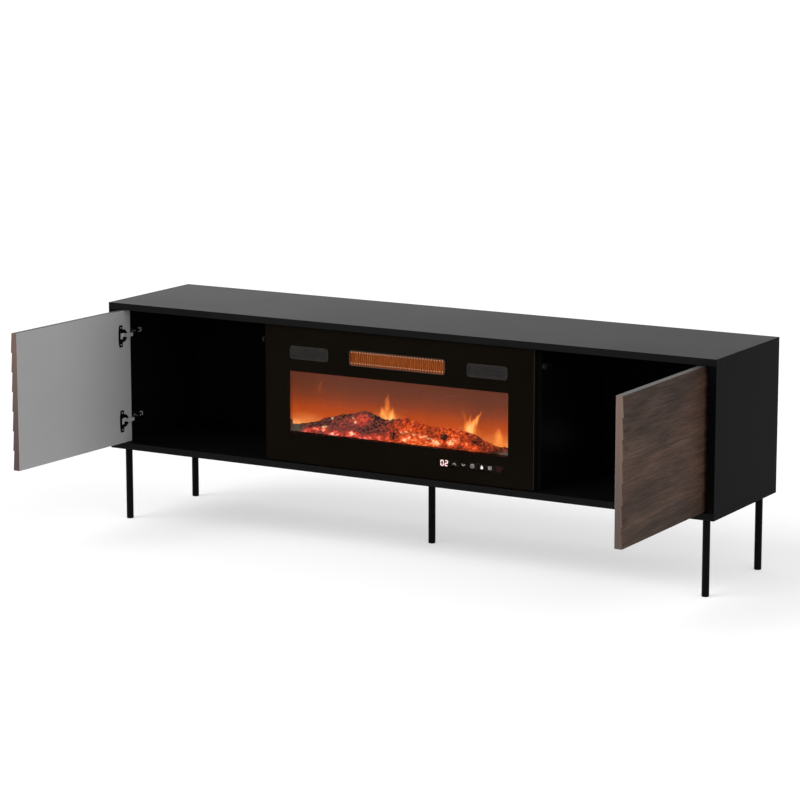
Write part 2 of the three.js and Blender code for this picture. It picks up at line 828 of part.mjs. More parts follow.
// Insert: blower
function blower() {
  const x = blowerLength / 2;
  const front = heaterBackY + seatGap;
  const back = front + blowerDepth;
  const low = shelfTop + seatGap;
  const high = low + blowerHeight;
  const axisY = (front + back) / 2;
  const axisZ = (low + high) / 2;
  const mouthX = outletWidth / 2 - outletRim * 2;
  const hollow = block(
    -x + blowerWall, x - blowerWall, front + blowerWall, back - blowerWall,
    low + blowerWall, high - blowerWall);
  const mouth = block(
    -mouthX, mouthX, front - overrun, front + overrun,
    outletZ - blowerMouthHeight / 2, outletZ + blowerMouthHeight / 2);
  const intake = block(
    -mouthX, mouthX, back - overrun, back + overrun,
    axisZ - blowerMouthHeight / 2, axisZ + blowerMouthHeight / 2);
  const bearings = cylinderX(shaftRadius + seatGap, -x - overrun, x + overrun, axisY, axisZ, shaftSides);
  const housing = cut(block(-x, x, front, back, low, high), hollow, mouth, intake, bearings);
  const wheelEnd = x - blowerWall - wheelEndGap;
  const parts = [cylinderX(shaftRadius, -x, x + motorSocket, axisY, axisZ, shaftSides)];
  for (const centre of [-wheelEnd + wheelDiscThickness / 2, 0, wheelEnd - wheelDiscThickness / 2]) {
    const half = wheelDiscThickness / 2;
    parts.push(cylinderX(wheelRadius, centre - half, centre + half, axisY, axisZ));
  }
  for (let i = 0; i < wheelBladeCount; i += 1) {
    const blade = block(
      -wheelEnd, wheelEnd, -wheelBladeThickness / 2, wheelBladeThickness / 2,
      wheelRadius - wheelBladeWidth, wheelRadius - wheelBladeThickness);
    parts.push(blade.rotateX(2 * Math.PI * i / wheelBladeCount).translate(0, axisY, axisZ));
  }
  const motorX = x + seatGap;
  const motor = cut(
    cylinderX(motorRadius, motorX, motorX + motorLength, axisY, axisZ),
    cylinderX(shaftRadius + seatGap, motorX - overrun, motorX + motorSocket, axisY, axisZ, shaftSides));
  return [
    piece('blower_housing', housing, 'galvanised'),
    piece('blower_wheel', join(...parts), 'darkPlastic'),
    piece('blower_motor', motor, 'casingSteel'),
  ];
}

// Insert: logs and embers
const chamberFrontY = frameBackY + seatGap;
const chamberBackY = frameBackY + chamberDepth - seatGap;
const bedBottom = bayBottom + bedRise;

function shareAt(shares, t) {
  const place = THREE.MathUtils.clamp(t, 0, 1) * (shares.length - 1);
  const index = Math.min(Math.floor(place), shares.length - 2);
  return THREE.MathUtils.lerp(shares[index], shares[index + 1], place - index);
}

// The embers climb from the front to a crest below the logs and fall away behind it
function bedProfile(back) {
  if (back < bedCrestShare) return (1 - Math.cos(back / bedCrestShare * Math.PI)) / 2;
  const behind = (back - bedCrestShare) / (1 - bedCrestShare);
  return bedRearShare + (1 - bedRearShare) * Math.cos(behind * Math.PI / 2);
}

function bedHeight(x, y) {
  const across = (x + casingInnerX) / (2 * casingInnerX);
  const back = (y - chamberFrontY) / (chamberBackY - chamberFrontY);
  const ridge = bedCrestHeight * shareAt(bedRidgeShares, across) - bedFrontHeight;
  const rise = bedProfile(back) * ridge;
  const coals = Math.sin(x / bedCoalPitchX * 2 * Math.PI) * Math.sin(y / bedCoalPitchY * 2 * Math.PI);
  return bedBottom + bedFrontHeight + rise + coals * bedCoalHeight * back;
}

// A closed bed: a grid of heights over the same grid on the flat underside
function bedGeometry() {
  const half = casingInnerX - seatGap;
  const columns = bedColumns + 1;
  const rows = bedRows + 1;
  const positions = [];
  for (const top of [true, false]) {
    for (let j = 0; j < rows; j += 1) {
      for (let i = 0; i < columns; i += 1) {
        const x = -half + 2 * half * i / bedColumns;
        const y = chamberFrontY + (chamberBackY - chamberFrontY) * j / bedRows;
        positions.push(x, y, top ? bedHeight(x, y) : bedBottom);
      }
    }
  }
  const under = rows * columns;
  const faces = [];
  const quad = (a, b, c, d) => faces.push(a, b, c, a, c, d);
  for (let j = 0; j < bedRows; j += 1) {
    for (let i = 0; i < bedColumns; i += 1) {
      const a = j * columns + i;
      quad(a, a + 1, a + columns + 1, a + columns);
      quad(under + a, under + a + columns, under + a + columns + 1, under + a + 1);
    }
  }
  const rim = [];
  for (let i = 0; i < bedColumns; i += 1) rim.push(i);
  for (let j = 0; j < bedRows; j += 1) rim.push(j * columns + bedColumns);
  for (let i = bedColumns; i > 0; i -= 1) rim.push(bedRows * columns + i);
  for (let j = bedRows; j > 0; j -= 1) rim.push(j * columns);
  rim.forEach((a, k) => {
    const b = rim[(k + 1) % rim.length];
    quad(under + a, under + b, b, a);
  });
  const geometry = new THREE.BufferGeometry();
  geometry.setAttribute('position', new THREE.Float32BufferAttribute(positions, 3));
  geometry.setIndex(faces);
  return geometry;
}

// A knotty log lying on the bed along X, tilted in the plane of the front, with its centre at a share
// of the chamber's half width and lifted over the embers there; grown by a clearance for its nest
function logGeometry(log, growth) {
  const last = logRadiusShares.length - 1;
  const half = log.length / 2 + growth;
  const profile = logRadiusShares.map((share, i) => [
    log.radius * share + growth, -half + 2 * half * i / last,
  ]);
  const x = log.share * casingInnerX;
  const y = THREE.MathUtils.lerp(chamberFrontY, chamberBackY, bedCrestShare);
  return turned([[0, -half], ...profile, [0, half]], logSides)
    .rotateY(Math.PI / 2 - THREE.MathUtils.degToRad(log.tilt))
    .translate(x, y, bedHeight(x, y) + log.lift);
}

function fireBed() {
  const left = {
    radius: leftLogRadius,
    length: leftLogLength,
    share: leftLogShare,
    lift: leftLogLift,
    tilt: leftLogTilt,
  };
  const right = {
    radius: rightLogRadius,
    length: rightLogLength,
    share: rightLogShare,
    lift: rightLogLift,
    tilt: rightLogTilt,
  };
  const nests = [left, right].map((log) => logGeometry(log, seatGap));
  return [
    piece('ember_bed', cut(bedGeometry(), ...nests), 'ember'),
    piece('log_left', logGeometry(left, 0), 'log'),
    piece('log_right', logGeometry(right, 0), 'log'),
  ];
}

// Insert: flame screen, lamp board and spindle
function flameParts() {
  const reach = casingInnerX - seatGap;
  const screenY = frameBackY + chamberDepth;
  const screen = block(-reach, reach, screenY, screenY + screenThickness, bedBottom, shelfBottom - seatGap);
  const lampTop = bedBottom - seatGap;
  const lampY = (chamberFrontY + chamberBackY) / 2;
  const lamps = block(
    -lampBoardLength / 2, lampBoardLength / 2, lampY - lampBoardWidth / 2, lampY + lampBoardWidth / 2,
    lampTop - lampBoardThickness, lampTop);
  const motorX = casingInnerX - seatGap - spindleMotorLength;
  const shaftEnd = motorX + motorSocket - seatGap;
  const parts = [cylinderX(shaftRadius, -casingHalfWidth, shaftEnd, spindleY, spindleZ, shaftSides)];
  const pitch = (motorX + casingInnerX) / paddleCount;
  for (let i = 0; i < paddleCount; i += 1) {
    const centre = -casingInnerX + (i + 1 / 2) * pitch;
    const paddle = block(
      centre - paddleLength / 2, centre + paddleLength / 2,
      -paddleThickness / 2, paddleThickness / 2, -paddleRadius, paddleRadius);
    parts.push(paddle.rotateX(THREE.MathUtils.degToRad(paddleTurn * i)).translate(0, spindleY, spindleZ));
  }
  const socketEnd = motorX + motorSocket;
  const motor = cut(
    cylinderX(spindleMotorRadius, motorX, motorX + spindleMotorLength, spindleY, spindleZ),
    cylinderX(shaftRadius + seatGap, motorX - overrun, socketEnd, spindleY, spindleZ, shaftSides));
  return [
    piece('flame_screen', screen, 'flame'),
    piece('lamp_board', lamps, 'circuit'),
    piece('flame_spindle', join(...parts), 'foil'),
    piece('spindle_motor', motor, 'casingSteel'),
  ];
}

// Insert: control board and power inlet
function electrics() {
  const boardX = displayWidth / 2 - seatGap;
  const boardZ = displayHeight / 2 - seatGap;
  const board = block(
    displayCentreX - boardX, displayCentreX + boardX, glassBackY, glassBackY + controlThickness,
    displayZ - boardZ, displayZ + boardZ);
  const inletY = casingBackY + coverThickness;
  const z = bayBottom + inletRise;
  const body = block(
    inletX - inletWidth / 2, inletX + inletWidth / 2, inletY, inletY + inletDepth,
    z - inletHeight / 2, z + inletHeight / 2);
  const socket = block(
    inletX - inletWidth / 2 + inletWall, inletX + inletWidth / 2 - inletWall,
    inletY + inletDepth - inletRecess, inletY + inletDepth + overrun,
    z - inletHeight / 2 + inletWall, z + inletHeight / 2 - inletWall);
  return [
    piece('control_board', board, 'circuit'),
    piece('power_inlet', cut(body, socket), 'darkPlastic'),
  ];
}

const stand = new THREE.Group();
stand.add(
  ...carcassBoards(),
  ...backPanels(),
  ...legs(),
  hungDoor('left'),
  hungDoor('right'),
  ...fixedHingeParts(),
  ...latches(),
  glassFront(),
  frontFrame(),
  ...insertCasing(),
  ...insertBrackets(),
  ...outletAndHeater(),
  ...ventGrilles(),
  ...blower(),
  ...fireBed(),
  ...flameParts(),
  ...electrics(),
);

export default stand;
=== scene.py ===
"""Looks of a low media cabinet with an electric fireplace insert and two hinged doors.

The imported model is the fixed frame. Every piece made here is in metres in that frame, with its
object at the origin and its place in its mesh, and rides on one of the frame's bodies.
"""

import logging
import math
from collections.abc import Callable, Iterator, Sequence
from contextlib import contextmanager
from dataclasses import dataclass
from enum import Enum
from functools import cache

import bmesh
import bpy
from mathutils import Matrix, Vector, noise


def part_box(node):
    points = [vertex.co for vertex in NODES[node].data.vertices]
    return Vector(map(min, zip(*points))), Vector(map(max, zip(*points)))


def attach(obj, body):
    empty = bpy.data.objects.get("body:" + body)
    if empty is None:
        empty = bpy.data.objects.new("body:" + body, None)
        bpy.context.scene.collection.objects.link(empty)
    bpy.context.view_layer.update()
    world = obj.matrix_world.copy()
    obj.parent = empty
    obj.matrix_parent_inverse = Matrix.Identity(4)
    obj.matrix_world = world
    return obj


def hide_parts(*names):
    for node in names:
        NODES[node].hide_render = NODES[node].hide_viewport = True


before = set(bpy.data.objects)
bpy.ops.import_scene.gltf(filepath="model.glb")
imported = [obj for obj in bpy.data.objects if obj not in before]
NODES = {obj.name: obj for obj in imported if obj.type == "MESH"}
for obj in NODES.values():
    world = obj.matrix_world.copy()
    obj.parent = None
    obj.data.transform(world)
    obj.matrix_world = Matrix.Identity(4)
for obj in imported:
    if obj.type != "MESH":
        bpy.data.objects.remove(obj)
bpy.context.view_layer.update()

LOG = logging.getLogger("media_cabinet")
SEED = 7
MERGE = 1e-6
EDGE_ANGLE = math.radians(30)
LATHE_ANGLE = math.radians(40)
FINE_EDGE = 0.0003

Colour = tuple[float, float, float, float]
Point = tuple[float, float, float]
Flat = tuple[float, float]
Mesh = bpy.types.Mesh
Object = bpy.types.Object
Tree = bpy.types.NodeTree
Node = bpy.types.Node
Socket = bpy.types.NodeSocket
Sockets = bpy.types.NodeOutputs
Value = Socket | float


class Body(Enum):
    """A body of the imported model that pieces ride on."""

    CABINET = "cabinet"
    LEFT_DOOR = "left_door"
    RIGHT_DOOR = "right_door"
    LEFT_PLUNGER = "left_plunger"
    RIGHT_PLUNGER = "right_plunger"


class Slot(Enum):
    """A material slot of the record."""

    BLACK_BOARD = "black_board"
    BACK_BOARD = "back_board"
    DOOR_WOOD = "door_wood"
    BLACK_STEEL = "black_steel"
    NICKEL = "nickel"
    GLASS = "glass"
    CASING = "casing_steel"
    GALVANISED = "galvanised"
    EMBER = "ember"
    LOG = "log_resin"
    COPPER = "heater_copper"
    GREY_PLASTIC = "grey_plastic"
    DARK_PLASTIC = "dark_plastic"
    CIRCUIT = "circuit_board"
    FOIL = "foil"


class Side(Enum):
    """The side of the cabinet that a piece is on, as the sign of its X."""

    LEFT = -1
    RIGHT = 1

    @property
    def word(self) -> str:
        """The side's name in the names of nodes and pieces."""
        return self.name.lower()


def tone(red: float, green: float, blue: float) -> Colour:
    """Turn a display colour of 0 to 255 into the linear colour that nodes take.

    Args:
        red: Red as displayed.
        green: Green as displayed.
        blue: Blue as displayed.

    Returns:
        The linear colour with full alpha.
    """
    linear = [
        c / 12.92 if c <= 0.04045 else ((c + 0.055) / 1.055) ** 2.4
        for c in (red / 255, green / 255, blue / 255)
    ]
    return (*linear, 1.0)


# Node trees


class Wiring:
    """Adds nodes to one shader or geometry tree and links them."""

    def __init__(self, tree: Tree) -> None:
        """Start wiring a tree."""
        self.tree = tree

    def feed(self, target: Socket, value: object) -> None:
        """Link a socket to an input, or set the input's value.

        Args:
            target: The input.
            value: The socket or the value.
        """
        if isinstance(value, Socket):
            self.tree.links.new(value, target)
        else:
            target.default_value = value

    def add(self, kind: str, inputs: dict | None = None, **settings: object) -> Node:
        """Add one node.

        Args:
            kind: Blender's type name of the node.
            inputs: Values or sockets for its inputs, by name or number.
            settings: The node's own settings, such as its operation.

        Returns:
            The new node.
        """
        node = self.tree.nodes.new(kind)
        for name, value in settings.items():
            setattr(node, name, value)
        for key, value in (inputs or {}).items():
            self.feed(node.inputs[key], value)
        return node

    def out(self, kind: str, inputs: dict | None = None, **settings: object) -> Socket:
        """Add one node and take its first output."""
        return self.add(kind, inputs, **settings).outputs[0]

    def join(self, node: Node, **values: object) -> None:
        """Feed a node's inputs, named with underscores for spaces."""
        for key, value in values.items():
            self.feed(node.inputs[key.replace("_", " ")], value)

    def math(self, operation: str, *values: Value) -> Socket:
        """Add a Math node of an operation on up to three values."""
        return self.out("ShaderNodeMath", dict(enumerate(values)), operation=operation)

    def plus(self, first: Value, second: Value) -> Socket:
        """Add two values."""
        return self.math("ADD", first, second)

    def minus(self, first: Value, second: Value) -> Socket:
        """Take the second value from the first."""
        return self.math("SUBTRACT", first, second)

    def times(self, first: Value, second: Value) -> Socket:
        """Multiply two values."""
        return self.math("MULTIPLY", first, second)

    def total(self, values: Sequence[Value]) -> Value:
        """Add up several values.

        Args:
            values: Sockets or numbers, at least one of them.

        Returns:
            The sum.
        """
        whole = values[0]
        for value in values[1:]:
            whole = self.plus(whole, value)
        return whole


class ShaderWiring(Wiring):
    """Wiring with the nodes that colours and patterns need."""

    def mixed(self, share: Value, first: Socket | Colour, second: Socket | Colour, blend: str = "MIX") -> Socket:
        """Blend a share of the second colour into the first."""
        inputs = {0: share, 6: first, 7: second}
        return self.add("ShaderNodeMix", inputs, data_type="RGBA", blend_type=blend).outputs[2]

    def spread(self, value: Value, low: float, high: float, to_low: float = 0.0, to_high: float = 1.0) -> Socket:
        """Map the values from low to high smoothly to those from to_low to to_high, held at the ends."""
        inputs = {"Value": value, "From Min": low, "From Max": high, "To Min": to_low, "To Max": to_high}
        return self.out("ShaderNodeMapRange", inputs, interpolation_type="SMOOTHSTEP")

    def ramp(self, value: Value, stops: Sequence[tuple[float, Colour]]) -> Socket:
        """Turn a value of 0 to 1 into a colour.

        Args:
            value: The value.
            stops: The places and colours of the ramp, in order.

        Returns:
            The colour's socket.
        """
        node = self.add("ShaderNodeValToRGB", {0: value})
        elements = node.color_ramp.elements
        while len(elements) < len(stops):
            elements.new(1.0)
        for element, (place, colour) in zip(elements, stops):
            element.position = place
            element.color = colour
        return node.outputs[0]

    def noise(self, vector: Socket, scale: Value, detail: float = 3.0, rough: float = 0.5,
              warp: float = 0.0) -> Socket:
        """Add a noise of 0 to 1, of so many waves to the metre and finer layers, so rough and so distorted."""
        inputs = {"Vector": vector, "Scale": scale, "Detail": detail, "Roughness": rough, "Distortion": warp}
        return self.out("ShaderNodeTexNoise", inputs)

    def place(self, stretch: Point = (1, 1, 1), uv: str = "") -> Socket:
        """Read the place on the piece.

        Args:
            stretch: The pattern's scale along each axis.
            uv: The UV map to read, or nothing for Object coordinates.

        Returns:
            The coordinate's socket.
        """
        if uv:
            source = self.out("ShaderNodeUVMap", uv_map=uv)
        else:
            source = self.add("ShaderNodeTexCoord").outputs["Object"]
        return self.out("ShaderNodeMapping", {"Vector": source, "Scale": stretch})

    def split(self, vector: Socket) -> Sockets:
        """Split a vector into its X, Y and Z."""
        return self.add("ShaderNodeSeparateXYZ", {0: vector}).outputs

    def cells(self, stretch: Point, scale: float, randomness: float = 1.0) -> Socket:
        """Measure how far each place is from the edge of its cell in a Voronoi pattern."""
        inputs = {"Vector": self.place(stretch), "Scale": scale, "Randomness": randomness}
        return self.out("ShaderNodeTexVoronoi", inputs, feature="DISTANCE_TO_EDGE")

    def group(self, tree: Tree, **inputs: Value) -> Sockets:
        """Place a node group with its inputs, named with underscores for spaces."""
        named = {key.replace("_", " "): value for key, value in inputs.items()}
        return self.add("ShaderNodeGroup", named, node_tree=tree).outputs


SOCKETS = {float: "NodeSocketFloat", tuple: "NodeSocketVector"}


def shader_group(name: str, inputs: dict, outputs: Sequence[str]) -> tuple[ShaderWiring, dict, Node]:
    """Start a shader node group.

    Args:
        name: Its name.
        inputs: Its inputs' names and first values.
        outputs: Its outputs' names.

    Returns:
        Its wiring, the sockets of its inputs by name, and its output node.
    """
    tree = bpy.data.node_groups.new(name, "ShaderNodeTree")
    for key, value in inputs.items():
        socket = tree.interface.new_socket(key, in_out="INPUT", socket_type=SOCKETS[type(value)])
        socket.default_value = value
    for key in outputs:
        tree.interface.new_socket(key, in_out="OUTPUT", socket_type="NodeSocketFloat")
    wiring = ShaderWiring(tree)
    start = wiring.add("NodeGroupInput")
    end = wiring.add("NodeGroupOutput")
    return wiring, {key: start.outputs[key] for key in inputs}, end


@cache
def surface_grain() -> Tree:
    """The fine grain and the wide unevenness of a coated surface.

    Returns:
        The group, with the outputs Grain and Blotch.
    """
    inputs = {"Vector": (0.0, 0.0, 0.0), "Grain Scale": 900.0, "Blotch Scale": 7.0}
    w, given, end = shader_group("surface_grain", inputs, ["Grain", "Blotch"])
    grain = w.noise(given["Vector"], given["Grain Scale"], 2.0)
    blotch = w.noise(given["Vector"], given["Blotch Scale"], 4.0, 0.55, 0.4)
    w.join(end, Grain=grain, Blotch=w.spread(blotch, 0.3, 0.7))
    return w.tree


@cache
def soft_spot() -> Tree:
    """A round or long spot that fades out, as a knot in wood or a glow in embers.

    Returns:
        The group, with the output Spot, which is Strength at its centre.
    """
    inputs = {
        "Across": 0.0, "Up": 0.0, "Centre Across": 0.0, "Centre Up": 0.0,
        "Reach Across": 0.01, "Reach Up": 0.01, "Strength": 1.0,
    }
    w, given, end = shader_group("soft_spot", inputs, ["Spot"])
    squares = []
    for axis in ("Across", "Up"):
        away = w.minus(given[axis], given[f"Centre {axis}"])
        share = w.math("DIVIDE", away, given[f"Reach {axis}"])
        squares.append(w.times(share, share))
    distance = w.math("SQRT", w.total(squares))
    fade = w.spread(distance, 0.0, 1.0, 1.0, 0.0)
    w.join(end, Spot=w.times(fade, given["Strength"]))
    return w.tree


@cache
def flame_tongue() -> Tree:
    """A flame that narrows and leans as it rises from its foot.

    Returns:
        The group, with the output Mask, from 0 outside to Strength in its middle.
    """
    inputs = {
        "Across": 0.0, "Up": 0.0, "Foot Across": 0.0, "Foot Up": 0.0,
        "Height": 0.05, "Width": 0.02, "Lean": 0.0, "Strength": 1.0,
    }
    w, given, end = shader_group("flame_tongue", inputs, ["Mask"])
    risen = w.minus(given["Up"], given["Foot Up"])
    rise = w.math("DIVIDE", risen, given["Height"])
    held = w.spread(rise, 0.0, 1.0)
    drift = w.times(w.times(held, rise), given["Lean"])
    middle = w.plus(given["Foot Across"], drift)
    away = w.math("ABSOLUTE", w.minus(given["Across"], middle))
    taper = w.math("POWER", w.math("MAXIMUM", w.minus(1.0, rise), 0.0), 0.8)
    half = w.times(given["Width"], w.times(taper, 0.5))
    share = w.math("DIVIDE", away, w.math("MAXIMUM", half, 0.0002))
    inside = w.spread(share, 0.0, 1.0, 1.0, 0.0)
    body = w.times(w.spread(rise, -0.06, 0.12), w.spread(rise, 0.55, 1.0, 1.0, 0.35))
    w.join(end, Mask=w.times(inside, w.times(body, given["Strength"])))
    return w.tree


@cache
def wood_figure() -> Tree:
    """The figure of a straight-grained veneer, along the first axis of its coordinate.

    Returns:
        The group, with the outputs Bands, Streaks, Fibres, Pores and Tint.
    """
    inputs = {"Vector": (0.0, 0.0, 0.0), "Band Scale": 14.0, "Streak Scale": 60.0, "Fibre Scale": 330.0}
    w, given, end = shader_group("wood_figure", inputs, ["Bands", "Streaks", "Fibres", "Pores", "Tint"])

    def stretched(along: float) -> Socket:
        """The coordinate drawn out along the grain."""
        return w.out("ShaderNodeMapping", {"Vector": given["Vector"], "Scale": (along, 1, 1)})

    bands = w.noise(stretched(0.2), given["Band Scale"], 3.0, 0.5, 0.5)
    streaks = w.noise(stretched(0.07), given["Streak Scale"], 4.0, 0.6, 0.3)
    fibres = w.noise(stretched(0.035), given["Fibre Scale"], 2.0, 0.6)
    pores = w.noise(stretched(0.09), 520.0, 1.0)
    tint = w.noise(stretched(0.3), 6.0, 2.0)
    w.join(end, Bands=w.spread(bands, 0.34, 0.66), Streaks=w.spread(streaks, 0.32, 0.68),
           Fibres=w.spread(fibres, 0.25, 0.75), Pores=w.spread(pores, 0.6, 0.7), Tint=w.spread(tint, 0.35, 0.65))
    return w.tree


# Finishes


@dataclass(frozen=True)
class Finish:
    """What a surface is made of. Each kind below wires its own pattern."""

    name: str

    @cache
    def material(self) -> bpy.types.Material:
        """Make the material once.

        Returns:
            The material.
        """
        made = bpy.data.materials.new(self.name)
        made.use_nodes = True
        wiring = ShaderWiring(made.node_tree)
        self.wire(wiring, made.node_tree.nodes["Principled BSDF"])
        return made

    def wire(self, w: ShaderWiring, surface: Node) -> None:
        """Wire the pattern to the surface's Principled BSDF."""
        raise NotImplementedError


def bumped(w: ShaderWiring, height: Socket, depth: float) -> Socket:
    """Turn a height of 0 to 1, of so many metres, into a normal."""
    return w.out("ShaderNodeBump", {"Height": height, "Distance": depth, "Strength": 1.0})


@dataclass(frozen=True)
class CoatedFinish(Finish):
    """Laminate, paint, powder coat, fibreboard or moulded plastic."""

    colour: Colour
    second: Colour
    roughness: float = 0.5
    specular: float = 0.3
    grain_scale: float = 900.0
    grain_depth: float = 0.00003
    blotch_scale: float = 7.0
    spread: float = 0.06
    fall: float = 0.0

    def tint(self, w: ShaderWiring, blotch: Socket) -> Socket:
        """Blend the two tones by the unevenness."""
        return w.mixed(blotch, self.colour, self.second)

    def wire(self, w: ShaderWiring, surface: Node) -> None:
        """Wire a fine grain with a faint unevenness of colour and gloss.

        Args:
            w: The material's wiring.
            surface: Its Principled BSDF.
        """
        where = w.place()
        grain = w.group(surface_grain(), Vector=where, Grain_Scale=self.grain_scale, Blotch_Scale=self.blotch_scale)
        rough = w.spread(grain["Blotch"], 0.0, 1.0, self.roughness - self.spread, self.roughness + self.spread)
        if self.fall:
            rough = w.plus(rough, w.spread(w.split(where)[0], -0.9, 0.9, 0.0, self.fall))
        w.join(surface, Base_Color=self.tint(w, grain["Blotch"]), Roughness=rough,
               Specular_IOR_Level=self.specular, Normal=bumped(w, grain["Grain"], self.grain_depth))


@dataclass(frozen=True)
class InsideFinish(CoatedFinish):
    """The plain grey inside of a door, with painted shade towards its hinges, where the cabinet shades it."""

    # hinge is the painted shade's tone beside the hinges; reach is how far from them it fades out.
    hinge: Colour = (0.3, 0.3, 0.3, 1)
    reach: float = 0.32

    def tint(self, w: ShaderWiring, blotch: Socket) -> Socket:
        """Blend the two tones, then blend in the painted shade beside the hinges by the distance from them."""
        away = w.spread(w.split(w.place(uv="grain"))[0], 0.0, self.reach)
        return w.mixed(away, self.hinge, super().tint(w, blotch))


@dataclass(frozen=True)
class MetalFinish(Finish):
    """Bare or plated metal, brushed or drawn along one axis."""

    colour: Colour
    second: Colour
    roughness: float = 0.3
    brushing: Point = (1, 1, 1)
    grain_scale: float = 600.0
    grain_depth: float = 0.00001
    blotch_scale: float = 40.0
    spangle: bool = False
    metal: float = 1.0

    def wire(self, w: ShaderWiring, surface: Node) -> None:
        """Wire a brushed or spangled metal.

        Args:
            w: The material's wiring.
            surface: Its Principled BSDF.
        """
        where = w.place(self.brushing)
        grain = w.group(surface_grain(), Vector=where, Grain_Scale=self.grain_scale, Blotch_Scale=self.blotch_scale)
        pattern = grain["Blotch"]
        if self.spangle:
            flakes = w.add("ShaderNodeTexVoronoi", {"Vector": w.place(), "Scale": 120.0}).outputs["Color"]
            pattern = w.split(flakes)[0]
        rough = w.spread(grain["Grain"], 0.2, 0.8, self.roughness - 0.08, self.roughness + 0.1)
        w.join(surface, Base_Color=w.mixed(pattern, self.colour, self.second), Metallic=self.metal,
               Roughness=rough, Normal=bumped(w, grain["Grain"], self.grain_depth))


@dataclass(frozen=True)
class Spot:
    """A spot on a surface: its centre and reach in metres, and how strong it is."""

    across: float
    up: float
    reach_across: float
    reach_up: float
    strength: float = 1.0

    def wire(self, w: ShaderWiring, across: Socket, up: Socket) -> Socket:
        """Place the spot by the sockets of the place across and up."""
        return w.group(
            soft_spot(), Across=across, Up=up, Centre_Across=self.across, Centre_Up=self.up,
            Reach_Across=self.reach_across, Reach_Up=self.reach_up, Strength=self.strength)["Spot"]


def spot_set(*rows: tuple[float, ...]) -> tuple[Spot, ...]:
    """Make spots of rows of their values."""
    return tuple(Spot(*row) for row in rows)


@dataclass(frozen=True)
class WoodFinish(Finish):
    """A dark wood decor with its grain along U and its spots at places on the board."""

    dark: Colour
    middle: Colour
    light: Colour
    reddish: Colour
    pale: tuple[Spot, ...] = ()
    knots: tuple[Spot, ...] = ()
    roughness: float = 0.55
    specular: float = 0.08
    pore_depth: float = 0.00005

    def wire(self, w: ShaderWiring, surface: Node) -> None:
        """Wire bands, fibres and pores, bent and darkened around the knots, with painted shade over the upper part of
        the board.

        Args:
            w: The material's wiring.
            surface: Its Principled BSDF.
        """
        axes = w.split(w.place(uv="grain"))
        knots = [spot.wire(w, axes[0], axes[1]) for spot in self.knots]
        knot = w.total(knots) if knots else 0.0
        up = w.plus(axes[1], w.times(knot, 0.012))
        bent = w.out("ShaderNodeCombineXYZ", {0: axes[0], 1: up, 2: axes[2]})
        figure = w.group(wood_figure(), Vector=bent)
        level = w.plus(w.times(figure["Bands"], 0.62), w.times(figure["Streaks"], 0.38))
        # Painted shade: the board's upper part is darkened.
        level = w.minus(level, w.spread(axes[1], 0.2, 0.34, 0.0, 0.22))
        for spot in self.pale:
            level = w.plus(level, spot.wire(w, axes[0], axes[1]))
        level = w.minus(level, knot)
        colour = w.ramp(level, [(0.0, self.dark), (0.5, self.middle), (1.0, self.light)])
        colour = w.mixed(w.times(figure["Tint"], 0.5), colour, self.reddish)
        fibre = w.spread(figure["Fibres"], 0.0, 1.0, 0.82, 1.18)
        grey = w.out("ShaderNodeCombineColor", {0: fibre, 1: fibre, 2: fibre})
        colour = w.mixed(1.0, colour, grey, "MULTIPLY")
        colour = w.mixed(w.times(figure["Pores"], 0.65), colour, self.dark)
        height = w.minus(figure["Fibres"], figure["Pores"])
        rough = w.spread(figure["Fibres"], 0.0, 1.0, self.roughness + 0.06, self.roughness - 0.06)
        w.join(surface, Base_Color=colour, Roughness=rough, Specular_IOR_Level=self.specular,
               Normal=bumped(w, height, self.pore_depth))


@dataclass(frozen=True)
class EdgingFinish(Finish):
    """A door's edging strip with fine lines, in painted light: paler towards the top of its height, in tones set per
    door and per face for how the light falls on each.
    """

    # upper and lower are the painted light's tones at the top and at the bottom of the fall, which runs from the
    # height bottom to the height top.
    upper: Colour
    lower: Colour
    bottom: float
    top: float
    lines: Point = (40, 40, 1.5)

    def wire(self, w: ShaderWiring, surface: Node) -> None:
        """Wire the painted fall of light up the strip and the lines along the strip.

        Args:
            w: The material's wiring.
            surface: Its Principled BSDF.
        """
        height = w.split(w.place())[2]
        colour = w.mixed(w.spread(height, self.bottom, self.top), self.lower, self.upper)
        streak = w.noise(w.place(self.lines), 9.0, 4.0, 0.6)
        colour = w.mixed(w.spread(streak, 0.35, 0.75, 0.0, 0.35), colour, self.lower)
        w.join(surface, Base_Color=colour, Roughness=w.spread(streak, 0.3, 0.7, 0.42, 0.58),
               Specular_IOR_Level=0.3, Normal=bumped(w, streak, 0.00004))


@dataclass(frozen=True)
class GlassFinish(Finish):
    """Low-reflection glass, with a faint cast and a trace of wiped dust in its gloss."""

    colour: Colour
    second: Colour
    index: float = 1.1
    roughness: float = 0.0

    def wire(self, w: ShaderWiring, surface: Node) -> None:
        """Wire the cast of the glass.

        Args:
            w: The material's wiring.
            surface: Its Principled BSDF.
        """
        grain = w.group(surface_grain(), Vector=w.place(), Grain_Scale=60.0, Blotch_Scale=3.0)
        w.join(surface, Base_Color=w.mixed(grain["Blotch"], self.colour, self.second), IOR=self.index,
               Roughness=w.spread(grain["Blotch"], 0.0, 1.0, self.roughness, self.roughness + 0.012))
        surface.inputs["Transmission Weight"].default_value = 1.0
        surface.inputs["Metallic"].default_value = 0.0


